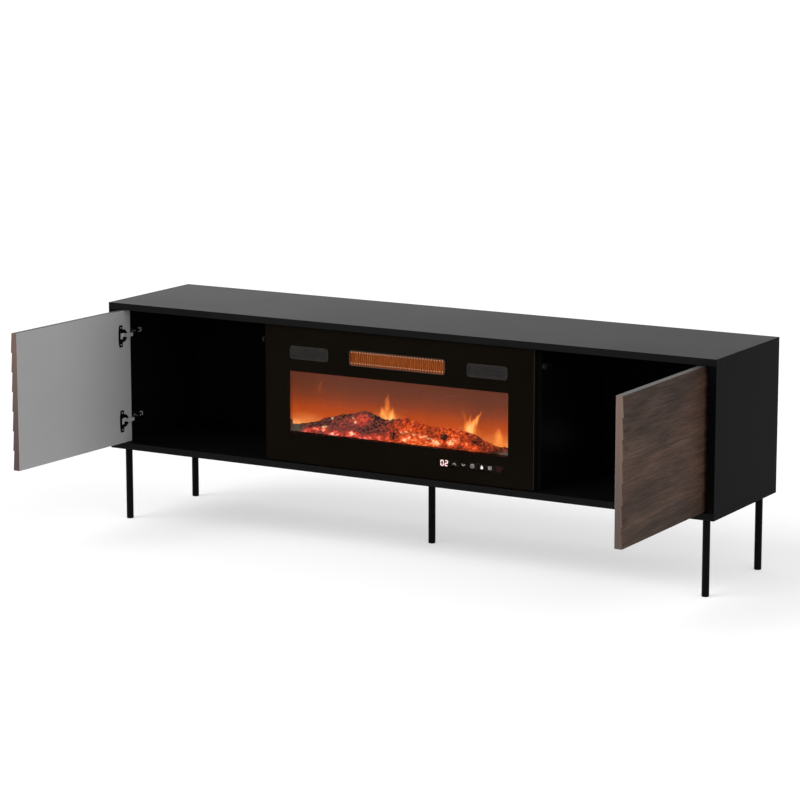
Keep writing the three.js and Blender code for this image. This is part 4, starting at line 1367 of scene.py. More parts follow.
class DoorBoard(GeometryTree):
    """A door board whose outer face is a rule: fields that each slope outward to their lower edge.

    The outline of depth and height is made point by point from its number, filled, drawn out along
    the width, and bored for the hinge cups.
    """

    def __init__(self) -> None:
        """Build the tree."""
        super().__init__("fielded_door_board", {
            "Width": ("Float", 0.477), "Height": ("Float", 0.363), "Thickness": ("Float", 0.0205),
            "Fields": ("Int", 7), "Field Step": ("Float", 0.0033), "Bore Radius": ("Float", 0.0176),
            "Bore Depth": ("Float", 0.0142), "Bore Across": ("Float", 0.031),
            "Lower Bore": ("Float", 0.06), "Upper Bore": ("Float", 0.29)})
        w, given = self.w, self.given
        edges = w.times(given["Fields"], 2.0)
        line = w.add("GeometryNodeMeshLine", {"Count": w.plus(edges, 2.0), "Offset": (0, 0, 0.001)})
        number = w.out("GeometryNodeInputIndex")
        odd = w.math("MODULO", number, 2.0)
        field = w.math("FLOOR", w.math("DIVIDE", number, 2.0))
        outer = w.math("LESS_THAN", number, w.minus(edges, 0.5))
        inner = w.minus(1.0, outer)
        pitch = w.math("DIVIDE", given["Height"], given["Fields"])
        depth = w.plus(w.times(outer, w.times(odd, given["Field Step"])),
                       w.times(inner, given["Thickness"]))
        low = w.times(outer, w.times(w.plus(field, odd), pitch))
        high = w.times(inner, w.times(w.minus(1.0, odd), given["Height"]))
        place = w.out("ShaderNodeCombineXYZ", {0: depth, 1: w.plus(low, high)})
        shaped = w.out("GeometryNodeSetPosition", {"Geometry": line.outputs[0], "Position": place})
        curve = w.out("GeometryNodeMeshToCurve", {0: shaped})
        loop = w.out("GeometryNodeSetSplineCyclic", {"Geometry": curve, "Cyclic": True})
        filled = w.add("GeometryNodeFillCurve", {"Curve": loop})
        filled.mode = "NGONS"
        face = filled.outputs[0]
        drawn = w.add("GeometryNodeExtrudeMesh", {"Mesh": face, "Offset Scale": given["Width"], "Individual": False})
        base = w.out("GeometryNodeFlipFaces", {0: face})
        both = w.add("GeometryNodeJoinGeometry")
        self.tree.links.new(drawn.outputs[0], both.inputs[0])
        self.tree.links.new(base, both.inputs[0])
        solid = w.out("GeometryNodeMergeByDistance", {"Geometry": both.outputs[0], "Distance": MERGE})
        tool = w.out("GeometryNodeMeshCylinder", {
            "Vertices": 48, "Radius": given["Bore Radius"],
            "Depth": w.times(given["Bore Depth"], 2.0)})
        bored = w.add("GeometryNodeMeshBoolean", {0: solid}, operation="DIFFERENCE", solver="EXACT")
        for level in ("Lower Bore", "Upper Bore"):
            spot = w.out("ShaderNodeCombineXYZ", {
                0: given["Thickness"], 1: given[level], 2: given["Bore Across"]})
            moved = w.out("GeometryNodeTransform", {
                "Geometry": tool, "Translation": spot, "Rotation": (0, math.pi / 2, 0)})
            self.tree.links.new(moved, bored.inputs[1])
        self.close(bored.outputs[0])


class Pattern:
    """A scratch object that a tree copies, there only while the tree runs."""

    def __init__(self, mesh: Mesh) -> None:
        """Take the mesh to copy."""
        self.mesh = mesh

    def __enter__(self) -> Object:
        """Link the scratch object."""
        self.model = linked("pattern", self.mesh)
        return self.model

    def __exit__(self, *_) -> None:
        """Remove it."""
        bpy.data.objects.remove(self.model)


@dataclass
class Workshop:
    """The trees and the fasteners that several sub-assemblies use."""

    screw_sides: int = 14

    def __post_init__(self) -> None:
        """Build the shared trees once."""
        self.copies = Copies()
        self.row = Row()
        self.scatter = Scatter()
        self.board = DoorBoard()

    def cross_screw(self, radius: float, height: float) -> Mesh:
        """A domed screw head with a cross recess, its seat at the origin.

        Args:
            radius: The head's radius.
            height: The head's height.

        Returns:
            The mesh, along Z.
        """
        head = lathed([(0, 0), (radius, 0), (radius, height * 0.35), (radius * 0.82, height * 0.8),
                       (radius * 0.5, height), (0, height)], self.screw_sides)
        arm, width = radius * 0.6, radius * 0.13
        bars = [box_mesh((-arm, -width, height * 0.4), (arm, width, height * 2)),
                box_mesh((-width, -arm, height * 0.4), (width, arm, height * 2))]
        for bar in bars:
            head = carved(head, bar)
        return head

    def screw(self, name: str, finish: Finish, size: Flat, places: Sequence[tuple[Point, Point]],
              slot: Slot = Slot.NICKEL, body: Body = Body.CABINET) -> None:
        """Seat cross-head screws of a radius and a height at places."""
        seat(name, self.copies.place(finish, self.cross_screw(*size), places), body=body)

    def nail(self, radius: float, height: float) -> Mesh:
        """A low domed nail head with its seat at the origin."""
        return lathed([(0, 0), (radius, 0), (radius * 0.9, height * 0.6), (radius * 0.4, height), (0, height)], 10)


# Sub-assemblies


@dataclass
class SubAssembly:
    """A part of the cabinet, made with the shared trees and fasteners."""

    shop: Workshop


@dataclass
class Carcass(SubAssembly):
    """The boards of the cabinet and its back panels."""

    board_edge: float = 0.0004
    nail_radius: float = 0.0022
    nail_height: float = 0.0005
    nail_inset: float = 0.006
    nails_across: int = 7
    nails_up: int = 4

    def build(self) -> None:
        """Make the boards, the panels and the nails."""
        boards = ["top_panel", "bottom_panel"]
        boards += [f"{board}_{side.word}" for board in ("side_panel", "partition") for side in Side]
        for board in boards:
            mesh = softened(board, self.board_edge, 3)
            # The side panels and the partitions keep the darker copy on their front edges: painted shade where the
            # doors and the top board shade them.
            if board in ("top_panel", "bottom_panel"):
                self.edged(mesh, board == "top_panel")
            seat(f"{board}_board", mesh, [Paint.LAMINATE, Paint.EDGING, Paint.TOP], [board])
        nails = []
        for part in ("left", "middle", "right"):
            node = f"back_panel_{part}"
            recut(node, "sheet", FINE_EDGE, Paint.HARDBOARD)
            nails += self.nail_places(*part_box(node))
        heads = self.shop.copies.place(Paint.SCREW, self.shop.nail(self.nail_radius, self.nail_height), nails)
        seat("back_panel_nails", heads)

    def edged(self, mesh: Mesh, top: bool) -> None:
        """Give a board's front the lighter edging copy, painted light, and on the top board give what looks up the
        glossier copy, a painted sheen.
        """
        for face in mesh.polygons:
            face.material_index = 1 if face.normal.y < -0.9 else 2 if top and face.normal.z > 0.5 else 0

    def nail_places(self, low: Vector, high: Vector) -> list[tuple[Point, Point]]:
        """Place nails along the edges of a back panel.

        Args:
            low: The panel's lowest corner.
            high: Its highest corner.

        Returns:
            The nails' places, facing backwards.
        """
        left, right = low.x + self.nail_inset, high.x - self.nail_inset
        bottom, top = low.z + self.nail_inset, high.z - self.nail_inset
        spots = []
        for k in range(self.nails_across):
            x = left + (right - left) * k / (self.nails_across - 1)
            spots += [(x, bottom), (x, top)]
        for k in range(1, self.nails_up - 1):
            z = bottom + (top - bottom) * k / (self.nails_up - 1)
            spots += [(left, z), (right, z)]
        return [((x, high.y - self.nail_height, z), (0.0, 1.0, 0.0)) for x, z in spots]


@dataclass
class Legs(SubAssembly):
    """Round steel legs with a welded plate, screwed under the cabinet."""

    radius: float = 0.0095
    bore: float = 0.008
    top: float = 0.2
    plate_radius: float = 0.024
    plate: float = 0.002
    weld: float = 0.002
    glide: float = 0.003
    plug: float = 0.017
    edge: float = 0.0005
    sides: int = 48
    screw_circle: float = 0.0172
    screw: Flat = (0.0032, 0.0014)
    screws: int = 3

    def build(self) -> None:
        """Make the five legs, their glides and their screws."""
        screws = []
        for place in ("front_left", "front_right", "rear_left", "rear_right", "middle"):
            low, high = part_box(f"leg_{place}")
            centre = ((low.x + high.x) / 2, (low.y + high.y) / 2, 0.0)
            seat(f"leg_{place}_tube", self.tube(centre), [Paint.POWDER], [f"leg_{place}"])
            seat(f"glide_{place}_foot", self.foot(centre),
                 [Paint.PLASTIC], [f"glide_{place}"])
            for k in range(self.screws):
                angle = math.tau * (k + 0.5) / self.screws
                spot = (centre[0] + self.screw_circle * math.cos(angle),
                        centre[1] + self.screw_circle * math.sin(angle), self.top - self.plate)
                screws.append((spot, (0.0, 0.0, -1.0)))
        self.shop.screw("leg_plate_screws", Paint.HINGE_BLACK, self.screw, screws, Slot.BLACK_STEEL)

    def tube(self, centre: Point) -> Mesh:
        """A leg: an open tube with a weld fillet under a round plate.

        Args:
            centre: The foot of its axis.

        Returns:
            The mesh, in place.
        """
        under = self.top - self.plate
        fillet = [
            (self.radius + self.weld * (1 - math.sin(a)), under - self.weld * (1 - math.cos(a)))
            for a in (math.pi / 2 * k / 4 for k in range(4, -1, -1))]
        profile = [
            (0, under), (self.bore, under), (self.bore, self.glide), (self.radius - self.edge, self.glide),
            (self.radius, self.glide + self.edge), *fillet, (self.plate_radius - self.edge, under),
            (self.plate_radius, under + self.edge), (self.plate_radius, self.top - self.edge),
            (self.plate_radius - self.edge, self.top), (0, self.top)]
        return lathed(profile, self.sides, centre)

    def foot(self, centre: Point) -> Mesh:
        """A glide: a low foot with a ribbed plug up the tube.

        Args:
            centre: The foot of its axis.

        Returns:
            The mesh, in place.
        """
        plug = self.bore - 0.0002
        profile = [
            (0, 0), (self.radius - 0.0012, 0), (self.radius - 0.0003, 0.0006), (self.radius, 0.0014),
            (self.radius, self.glide), (plug, self.glide)]
        for k in range(3):
            z = self.glide + 0.003 + 0.004 * k
            profile += [(plug, z), (plug - 0.0006, z + 0.001), (plug, z + 0.002)]
        profile += [(plug - 0.001, self.plug), (0, self.plug)]
        return lathed(profile, self.sides, centre)


@dataclass
class Door(SubAssembly):
    """One door: a fielded wood board with grey inside, its edging and its cup screws."""

    side: Side
    opening: float
    knots: tuple[Spot, ...]
    pale: tuple[Spot, ...]
    edging: EdgingFinish
    pivot: Flat = (0.861, -0.1815)
    hinge_edge: float = 0.879
    width: float = 0.477
    height: float = 0.363
    bottom: float = 0.2195
    front: float = -0.1915
    thickness: float = 0.0205
    fields: int = 7
    step: float = 0.0033
    rounding: float = 0.0005
    bore_radius: float = 0.0176
    bore_depth: float = 0.0142
    cup_inset: float = 0.031
    hinge_heights: Flat = (0.28, 0.514)
    screw: Flat = (0.0018, 0.0009)
    screw_across: float = 0.0115
    screw_up: float = 0.0232
    screw_seat: float = 0.0015

    @property
    def body(self) -> Body:
        """The body of this door."""
        return Body.LEFT_DOOR if self.side is Side.LEFT else Body.RIGHT_DOOR

    def opened(self) -> Matrix:
        """How the closed door turns to the way it stands.

        Returns:
            The turn about the hinges' axis.
        """
        hinge = Vector((self.side.value * self.pivot[0], self.pivot[1], 0))
        turn = Matrix.Rotation(math.radians(self.opening) * self.side.value, 4, "Z")
        return Matrix.Translation(hinge) @ turn @ Matrix.Translation(-hinge)

    def build(self) -> None:
        """Make the board and the screws of its two cups."""
        left = self.side is Side.LEFT
        levels = [z - self.bottom for z in self.hinge_heights]
        across = self.cup_inset if left else self.width - self.cup_inset
        wood = WoodFinish(f"{self.side.word}_door_wood", **WOOD_TONES, knots=self.knots, pale=self.pale)
        mesh = self.shop.board.run(
            wood, None, Width=self.width, Height=self.height, Thickness=self.thickness, Fields=self.fields,
            Field_Step=self.step, Bore_Radius=self.bore_radius, Bore_Depth=self.bore_depth, Bore_Across=across,
            Lower_Bore=levels[0], Upper_Bore=levels[1])
        mesh = rounded(self.cleaned(mesh), self.rounding)
        self.lay_grain(mesh)
        start = -self.hinge_edge if left else self.hinge_edge - self.width
        turned = Matrix(((0, 0, 1, start), (1, 0, 0, self.front), (0, 1, 0, self.bottom), (0, 0, 0, 1)))
        mesh.transform(self.opened() @ turned)
        seat(f"door_{self.side.word}_board", mesh,
             [wood, self.edging, Paint.DOOR_INSIDE, EDGE_ENDS], [f"door_{self.side.word}"], self.body)
        self.shop.screw(f"door_{self.side.word}_cup_screws", Paint.SCREW, self.screw, self.cup_screws(),
                        body=self.body)

    def cleaned(self, mesh: Mesh) -> Mesh:
        """Merge the board's doubles and turn its faces outward."""
        with reworked(mesh) as built:
            bmesh.ops.remove_doubles(built, verts=built.verts, dist=MERGE)
            bmesh.ops.recalc_face_normals(built, faces=built.faces)
        return mesh

    def lay_grain(self, mesh: Mesh) -> None:
        """Sort the board's faces by finish and lay the grain along its width.

        Args:
            mesh: The board, with its depth, height and width along X, Y and Z.
        """
        grain = mesh.uv_layers.new(name="grain")
        for face in mesh.polygons:
            inside = face.normal.x > 0.5 or face.center.x > self.thickness - 0.0004
            end = not self.rounding < face.center.y < self.height - self.rounding
            face.material_index = 2 if inside else 1 if abs(face.normal.z) > 0.5 else 3 if end else 0
            for loop in face.loop_indices:
                _, z, x = mesh.vertices[mesh.loops[loop].vertex_index].co
                from_hinge = x if self.side is Side.LEFT else self.width - x
                grain.data[loop].uv = (from_hinge, z)

    def cup_screws(self) -> list[tuple[Point, Point]]:
        """The places of the two screws of each cup.

        Returns:
            Each screw's point and direction.
        """
        turn = self.opened()
        cup = self.side.value * (self.hinge_edge - self.cup_inset - self.screw_across)
        back = self.front + self.thickness + self.screw_seat
        facing = turn.to_3x3() @ Vector((0, 1, 0))
        return [
            (tuple(turn @ Vector((cup, back, z + way * self.screw_up))), tuple(facing))
            for z in self.hinge_heights for way in (-1, 1)]


@dataclass
class Hinges(SubAssembly):
    """The concealed hinges: black cups on the doors, nickel arms and plates on the sides. The arms' tails, the
    plates, their large screws and their collars take a darker copy of the metal as painted shade.
    """

    doors: tuple[Door, ...]
    cup_edge: float = 0.0004
    arm_edge: float = 0.0006
    plate_edge: float = 0.0008
    arm_face: float = 0.8741
    plate_face: float = 0.877
    large_screw: Flat = (0.0032, 0.0013)
    small_screw: Flat = (0.0018, 0.001)
    ring_screw_y: float = -0.112
    fine_screw_y: float = -0.088
    fine_screw_up: float = 0.0048
    plate_screw_y: float = -0.1345
    plate_screw_up: float = 0.0205
    neck_end: float = -0.161
    damper_top: float = 0.0018
    clip: tuple[float, ...] = (0.0809, 0.0797, 0.0014, 0.0062)
    link_near: float = 0.0032
    link_far: float = 0.017
    link_half: float = 0.0052
    link_depths: Flat = (0.0119, 0.0127)
    collar_radius: float = 0.0077
    collar_bore: float = 0.0052
    collar_depth: float = 0.0016

    def build(self) -> None:
        """Make the hinges of both sides."""
        for door in self.doors:
            for level, z in zip(("lower", "upper"), door.hinge_heights):
                end = f"{door.side.word}_{level}"
                self.cup(door, end, z)
                arm = softened(f"hinge_arm_{end}", self.arm_edge)
                # The arm's neck over the door takes the lighter nickel, painted light; the rest takes the darker
                # copy, painted shade.
                for face in arm.polygons:
                    face.material_index = int(face.center.y > self.neck_end)
                seat(f"hinge_arm_{end}_steel", arm,
                     [Paint.NICKEL, Paint.DARK_STEEL], [f"hinge_arm_{end}"])
                recut(f"hinge_plate_{end}", "steel", self.plate_edge, Paint.DARK_STEEL)
            self.screws(door)
            self.collars(door)
            self.clips(door)

    def cup(self, door: Door, end: str, z: float) -> None:
        """Make one black cup with its bright damper, and the link at its floor.

        Args:
            door: The door that it is in.
            end: The end of its nodes' names.
            z: The height of its centre.
        """
        mesh = softened(f"hinge_cup_{end}", self.cup_edge)
        closed = door.opened().inverted()
        back = door.front + door.thickness
        for face in mesh.polygons:
            face.material_index = int((closed @ face.center).y > back + self.damper_top)
        seat(f"hinge_cup_{end}_shell", mesh,
             [Paint.HINGE_BLACK, Paint.NICKEL], [f"hinge_cup_{end}"], door.body)
        xs = sorted(door.side.value * (door.pivot[0] - reach) for reach in (self.link_far, self.link_near))
        link = rounded(box_mesh((xs[0], back - self.link_depths[1], z - self.link_half),
                                (xs[1], back - self.link_depths[0], z + self.link_half)))
        link.transform(door.opened())
        seat(f"hinge_link_{end}", link, [Paint.NICKEL], body=door.body)

    def clips(self, door: Door) -> None:
        """Make the bright release clips at the tails of one side's arms.

        Args:
            door: The door on that side.
        """
        front, back, proud, half = self.clip
        xs = sorted(door.side.value * x for x in (self.arm_face, self.arm_face - proud))
        clips = [box_mesh((xs[0], -front, z - half), (xs[1], -back, z + half)) for z in door.hinge_heights]
        seat(f"hinge_clips_{door.side.word}", rounded(joined(clips)), [Paint.NICKEL])

    def screws(self, door: Door) -> None:
        """Make the adjusting and fixing screws of one side.

        Args:
            door: The door on that side.
        """
        side = door.side.value
        inward = (-float(side), 0.0, 0.0)
        large, small = [], []
        for z in door.hinge_heights:
            large.append(((side * self.arm_face, self.ring_screw_y, z), inward))
            for way in (-1, 1):
                small.append(((side * self.arm_face, self.fine_screw_y, z + way * self.fine_screw_up), inward))
                large.append(((side * self.plate_face, self.plate_screw_y, z + way * self.plate_screw_up), inward))
        self.shop.screw(f"hinge_screws_large_{door.side.word}", Paint.DARK_STEEL, self.large_screw, large)
        self.shop.screw(f"hinge_screws_small_{door.side.word}", Paint.SCREW, self.small_screw, small)

    def collars(self, door: Door) -> None:
        """Make the round collars of the arms' depth screws.

        Args:
            door: The door on that side.
        """
        ring = ring_mesh([
            (self.collar_bore, 0.0), (self.collar_radius, 0.0), (self.collar_radius, self.collar_depth * 0.6),
            (self.collar_radius - 0.0006, self.collar_depth), (self.collar_bore + 0.0004, self.collar_depth),
            (self.collar_bore, self.collar_depth - 0.0004)], 32)
        side = door.side.value
        spots = [((side * self.arm_face, self.ring_screw_y, z), (-float(side), 0.0, 0.0))
                 for z in door.hinge_heights]
        seat(f"hinge_collars_{door.side.word}", self.shop.copies.place(Paint.DARK_STEEL, ring, spots))


@dataclass
class Latches(SubAssembly):
    """The push latches on the partitions."""

    edge: float = 0.0008
    tip_edge: float = 0.0004
    screw: Flat = (0.0024, 0.0008)
    screw_inset: float = 0.006

    def build(self) -> None:
        """Make both housings, their plungers and their screws."""
        spots = []
        for side in Side:
            plunger = Body.LEFT_PLUNGER if side is Side.LEFT else Body.RIGHT_PLUNGER
            housing, tip = f"latch_housing_{side.word}", f"latch_plunger_{side.word}"
            recut(housing, "shell", self.edge, Paint.PLASTIC, 3)
            seat(f"{tip}_tip", softened(tip, self.tip_edge), [Paint.GREY_PLASTIC], [tip],
                 plunger)
            low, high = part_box(housing)
            face = high.x if side is Side.RIGHT else low.x
            middle = (low.z + high.z) / 2
            spots += [((face, y, middle), (float(side.value), 0.0, 0.0))
                      for y in (high.y - self.screw_inset, low.y + self.screw_inset)]
        self.shop.screw("latch_screws", Paint.DARK_STEEL, self.screw, spots)


@dataclass
class InsertFront(SubAssembly):
    """The glass front, the black frame behind it, the outlet, the heater and the vents."""

    glass_edge: float = 0.0007
    lip: float = 0.0022
    lip_edge: float = 0.0005
    lip_step: float = 0.0012
    funnel: float = 0.006
    corner: float = 0.008
    ribs: int = 47
    rib_width: float = 0.0022
    rib_front: float = 0.0026
    rib_depth: float = 0.005
    fins: int = 36
    fin_width: float = 0.005
    fin_depth: float = 0.004
    beads: int = 34
    bead_radius: float = 0.0014
    bead_rise: float = 0.0074
    bead_drop: float = 0.0044
    bead_depth: float = 0.0016
    window: tuple[float, ...] = (-0.326, 0.3005, 0.326, 0.464)
    display: tuple[float, ...] = (0.1208, 0.2546, 0.3172, 0.2764)
    pane_gap: float = 0.00005
    grille_edge: float = 0.0004
    heater_margin: float = 0.0075
    louvres: int = 4
    louvre_thickness: float = 0.0012
    louvre_depth: float = 0.0033
    louvre_tilt: float = 56.0
    louvre_back: float = 0.0024
    slot_margin: float = 0.00795

    def build(self) -> None:
        """Make the front's pieces."""
        self.pane()
        self.outlet()
        self.heater()
        for side in Side:
            self.vent(side)

    def pane(self) -> None:
        """Make the glass, printed but for two clear windows, and the frame with its polished side reveals."""
        low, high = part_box("glass_front")
        sheet, clear = merged_copy("glass_front"), []
        for left, bottom, right, top in (self.window, self.display):
            sheet = carved(sheet, box_mesh((left, low.y - 0.001, bottom), (right, high.y + 0.001, top)))
            gap = self.pane_gap
            clear.append(box_mesh((left + gap, low.y, bottom + gap), (right - gap, high.y, top - gap)))
        sheet = rounded(sheet, self.glass_edge)
        for face in sheet.polygons:
            x, z = face.center.x, face.center.z
            edge = min(x - low.x, high.x - x, z - low.z, high.z - z) < self.glass_edge
            face.material_index = int(edge and abs(face.normal.y) < 0.98)
        window = joined(clear)
        for face in window.polygons:
            face.material_index = 2 if abs(face.normal.y) > 0.9 else 0
        whole = joined([sheet, window])
        whole.shade_flat()
        seat("glass_front_pane", whole, [Paint.PRINT, Paint.GLASS_EDGE, Paint.GLASS], ["glass_front"])
        frame_mesh = softened("front_frame")
        left, bottom, right, top = self.window
        for face in frame_mesh.polygons:
            spot = face.center + face.normal * 0.001
            inside = bottom < spot.z < top and left < spot.x < right
            face.material_index = int(inside and abs(face.normal.x) > 0.9)
        seat("front_frame_print", frame_mesh, [Paint.PANEL, Paint.MIRROR], ["front_frame"])

    def outlet(self) -> None:
        """Make the outlet: a thin lip around a sloped copper funnel, fine ribs and two rows of beads."""
        low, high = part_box("outlet_frame")
        edge, step = self.lip_edge, self.lip_step
        section = [(0.0, low.y + edge), (edge, low.y), (self.lip - edge, low.y), (self.lip, low.y + edge),
                   (self.lip, low.y + step), (self.funnel, high.y), (0.0, high.y)]
        mesh = framed(low, high, self.corner, section)
        for face in mesh.polygons:
            face.material_index = int(face.material_index == 4)
        seat("outlet_bezel", mesh, [Paint.BEZEL, Paint.COPPER_BACK], ["outlet_frame"])
        bead = lathed([(0, -self.bead_radius), (self.bead_radius, -self.bead_radius / 2),
                       (self.bead_radius, self.bead_radius / 2), (0, self.bead_radius)], 8)
        left, right = low.x + self.heater_margin, high.x - self.heater_margin
        y = low.y + self.bead_depth
        rows = [self.shop.row.lay(Paint.BEAD, bead, self.beads, (left, y, z), (right, y, z))
                for z in (low.z + self.bead_rise, high.z - self.bead_drop)]
        seat("outlet_beads", joined(rows), [Paint.BEAD])
        half, tall = self.rib_width / 2, (high.z - low.z) / 2 - self.lip - 0.0002
        rib = rounded(box_mesh((-half, 0, -tall), (half, self.rib_depth, tall)))
        y, middle = low.y + self.rib_front, (low.z + high.z) / 2
        seat("outlet_ribs", self.shop.row.lay(Paint.COPPER, rib, self.ribs, (left, y, middle), (right, y, middle)))

    def heater(self) -> None:
        """Make the heater: a copper block with a row of upright fins, both with a painted glow."""
        low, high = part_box("heater_element")
        plate = box_mesh((low.x, low.y + self.fin_depth, low.z), tuple(high))
        seat("heater_plate", rounded(plate, 0.0006), [Paint.COPPER_BACK], ["heater_element"])
        half, tall = self.fin_width / 2, (high.z - low.z) / 2 - 0.001
        fin = rounded(box_mesh((-half, 0, -tall), (half, self.fin_depth + 0.0005, tall)))
        middle = (low.z + high.z) / 2
        first = (low.x + self.fin_width, low.y, middle)
        last = (high.x - self.fin_width, low.y, middle)
        seat("heater_fins", self.shop.row.lay(Paint.COPPER, fin, self.fins, first, last))

    def vent(self, side: Side) -> None:
        """Make one intake: its grille and the sloped louvres inside it.

        Args:
            side: The side that it is on.
        """
        node = f"vent_grille_{side.word}"
        recut(node, "shell", self.grille_edge, Paint.GRILLE)
        low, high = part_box(node)
        half = (high.x - low.x) / 2 - self.funnel - 0.0002
        blade = box_mesh((-half, -self.louvre_depth / 2, -self.louvre_thickness / 2),
                         (half, self.louvre_depth / 2, self.louvre_thickness / 2))
        blade.transform(Matrix.Rotation(math.radians(self.louvre_tilt), 4, "X"))
        x, y = (low.x + high.x) / 2, low.y + self.louvre_back
        blades = self.shop.row.lay(Paint.LOUVRE, rounded(blade), self.louvres,
                                   (x, y, low.z + self.slot_margin), (x, y, high.z - self.slot_margin))
        seat(f"vent_louvres_{side.word}", blades)


class Segment(Enum):
    """A bar of a seven-bar digit: its ends as shares of the digit's width and height."""

    TOP = ((0, 1), (1, 1))
    UPPER_LEFT = ((0, 0.5), (0, 1))
    UPPER_RIGHT = ((1, 0.5), (1, 1))
    MIDDLE = ((0, 0.5), (1, 0.5))
    LOWER_LEFT = ((0, 0), (0, 0.5))
    LOWER_RIGHT = ((1, 0), (1, 0.5))
    BOTTOM = ((0, 0), (1, 0))


DIGIT_BARS = {
    "0": (Segment.TOP, Segment.UPPER_LEFT, Segment.UPPER_RIGHT, Segment.LOWER_LEFT, Segment.LOWER_RIGHT,
          Segment.BOTTOM),
    "2": (Segment.TOP, Segment.UPPER_RIGHT, Segment.MIDDLE, Segment.LOWER_LEFT, Segment.BOTTOM),
}


@dataclass
class ControlPanel:
    """The touch panel low on the glass: a board with two digits and six marks in front of it."""

    front: float = -0.18145
    back: float = -0.18125
    board_front: float = -0.1812
    digits: tuple[tuple[str, float], ...] = (("0", 0.1292), ("2", 0.1416))
    digit_width: float = 0.0074
    digit_bottom: float = 0.2578
    digit_height: float = 0.0134
    bar: float = 0.002
    line: float = 0.0009
    mark_z: float = 0.265
    arrow_half: float = 0.0046
    arrow_foot: float = 0.0022
    arrow_tip: float = 0.0026
    up_x: float = 0.1684
    down_x: float = 0.1952
    timer_x: float = 0.2214
    flame_x: float = 0.249
    heat_x: float = 0.2722
    power_x: float = 0.2985

    def build(self) -> None:
        """Make the board, the digits and the marks."""
        low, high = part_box("control_board")
        board = box_mesh((low.x, self.board_front, low.z), tuple(high))
        seat("control_panel_board", rounded(board, 0.0002), [Paint.PANEL], ["control_board"])
        bars = [self.digit_bar(x, segment) for sign, x in self.digits for segment in DIGIT_BARS[sign]]
        self.lit("display_digits", bars, Paint.DIGIT)
        self.lit("display_marks", self.marks(), Paint.ICON)
        self.lit("display_flame_mark", [self.flame()], Paint.FLAME_ICON)
        ring = self.ring(self.power_x, self.mark_z, 0.0058, 20, math.radians(125), math.radians(415))
        stem = self.strokes([(self.power_x, self.mark_z + 0.002), (self.power_x, self.mark_z + 0.0072)])
        self.lit("display_power_mark", ring + stem, Paint.POWER)

    def lit(self, name: str, outlines: Sequence[Sequence[Flat]], finish: Finish) -> None:
        """Make lit marks of flat outlines.

        Args:
            name: The piece's name.
            outlines: The outlines of X and Z.
            finish: Their glow.
        """
        seat(name, slabs(outlines, self.front, self.back), [finish])

    def digit_bar(self, x: float, segment: Segment) -> list[Flat]:
        """One bar of a digit, pointed at both ends.

        Args:
            x: The digit's left.
            segment: Which bar it is.

        Returns:
            Its outline.
        """
        (a, b), (c, d) = segment.value
        start = Vector((x + a * self.digit_width, self.digit_bottom + b * self.digit_height))
        end = Vector((x + c * self.digit_width, self.digit_bottom + d * self.digit_height))
        along = (end - start).normalized()
        side = Vector((-along.y, along.x)) * self.bar / 2
        near, far = start + along * self.bar * 0.58, end - along * self.bar * 0.58
        tip = along * self.bar * 0.5
        return [tuple(p) for p in (near - tip, near - side, far - side, far + tip, far + side, near + side)]

    def strokes(self, points: Sequence[Flat]) -> list[list[Flat]]:
        """Draw a line through points as flat bars.

        Args:
            points: The line's points.

        Returns:
            The outline of each bar.
        """
        bars = []
        for first, second in zip(points, points[1:]):
            start, end = Vector(first), Vector(second)
            along = (end - start).normalized() * self.line / 2
            side = Vector((-along.y, along.x))
            corners = (start - along - side, end + along - side, end + along + side, start - along + side)
            bars.append([tuple(p) for p in corners])
        return bars

    def ring(self, x: float, z: float, radius: float, parts: int, start: float = 0.0,
             end: float = math.tau) -> list[list[Flat]]:
        """Draw an arc as flat bars around a centre."""
        turns = [start + (end - start) * k / parts for k in range(parts + 1)]
        return self.strokes([(x + radius * math.cos(a), z + radius * math.sin(a)) for a in turns])

    def marks(self) -> list[list[Flat]]:
        """The outlines of the up, down, timer and heat marks.

        Returns:
            Flat bars.
        """
        z = self.mark_z
        up, down = (self.strokes([(x - self.arrow_half, z - rise), (x, z + self.arrow_tip * way),
                                  (x + self.arrow_half, z - rise)])
                    for x, way, rise in ((self.up_x, 1, self.arrow_foot), (self.down_x, -1, -self.arrow_foot)))
        timer = self.ring(self.timer_x, z, 0.0048, 16)
        timer += self.strokes([(self.timer_x, z + 0.0022), (self.timer_x, z), (self.timer_x + 0.0016, z)])
        heat = []
        for shift in (-0.0036, 0.0, 0.0036):
            wave = [(self.heat_x + shift + 0.0009 * math.sin(k * math.pi / 2), z - 0.004 + 0.00115 * k)
                    for k in range(8)]
            heat += self.strokes(wave)
        return up + down + timer + heat

    def flame(self) -> list[Flat]:
        """The outline of the flame mark."""
        return [(self.flame_x + dx, self.mark_z + dz) for dx, dz in (
            (-0.0005, -0.005), (0.0023, -0.0046), (0.0037, -0.0023), (0.003, 0.0003), (0.0018, 0.0015),
            (0.0013, 0.0003), (0.0007, 0.0034), (-0.0007, 0.0056), (-0.001, 0.0025), (-0.0028, 0.0005),
            (-0.0039, -0.002), (-0.0028, -0.0043))]


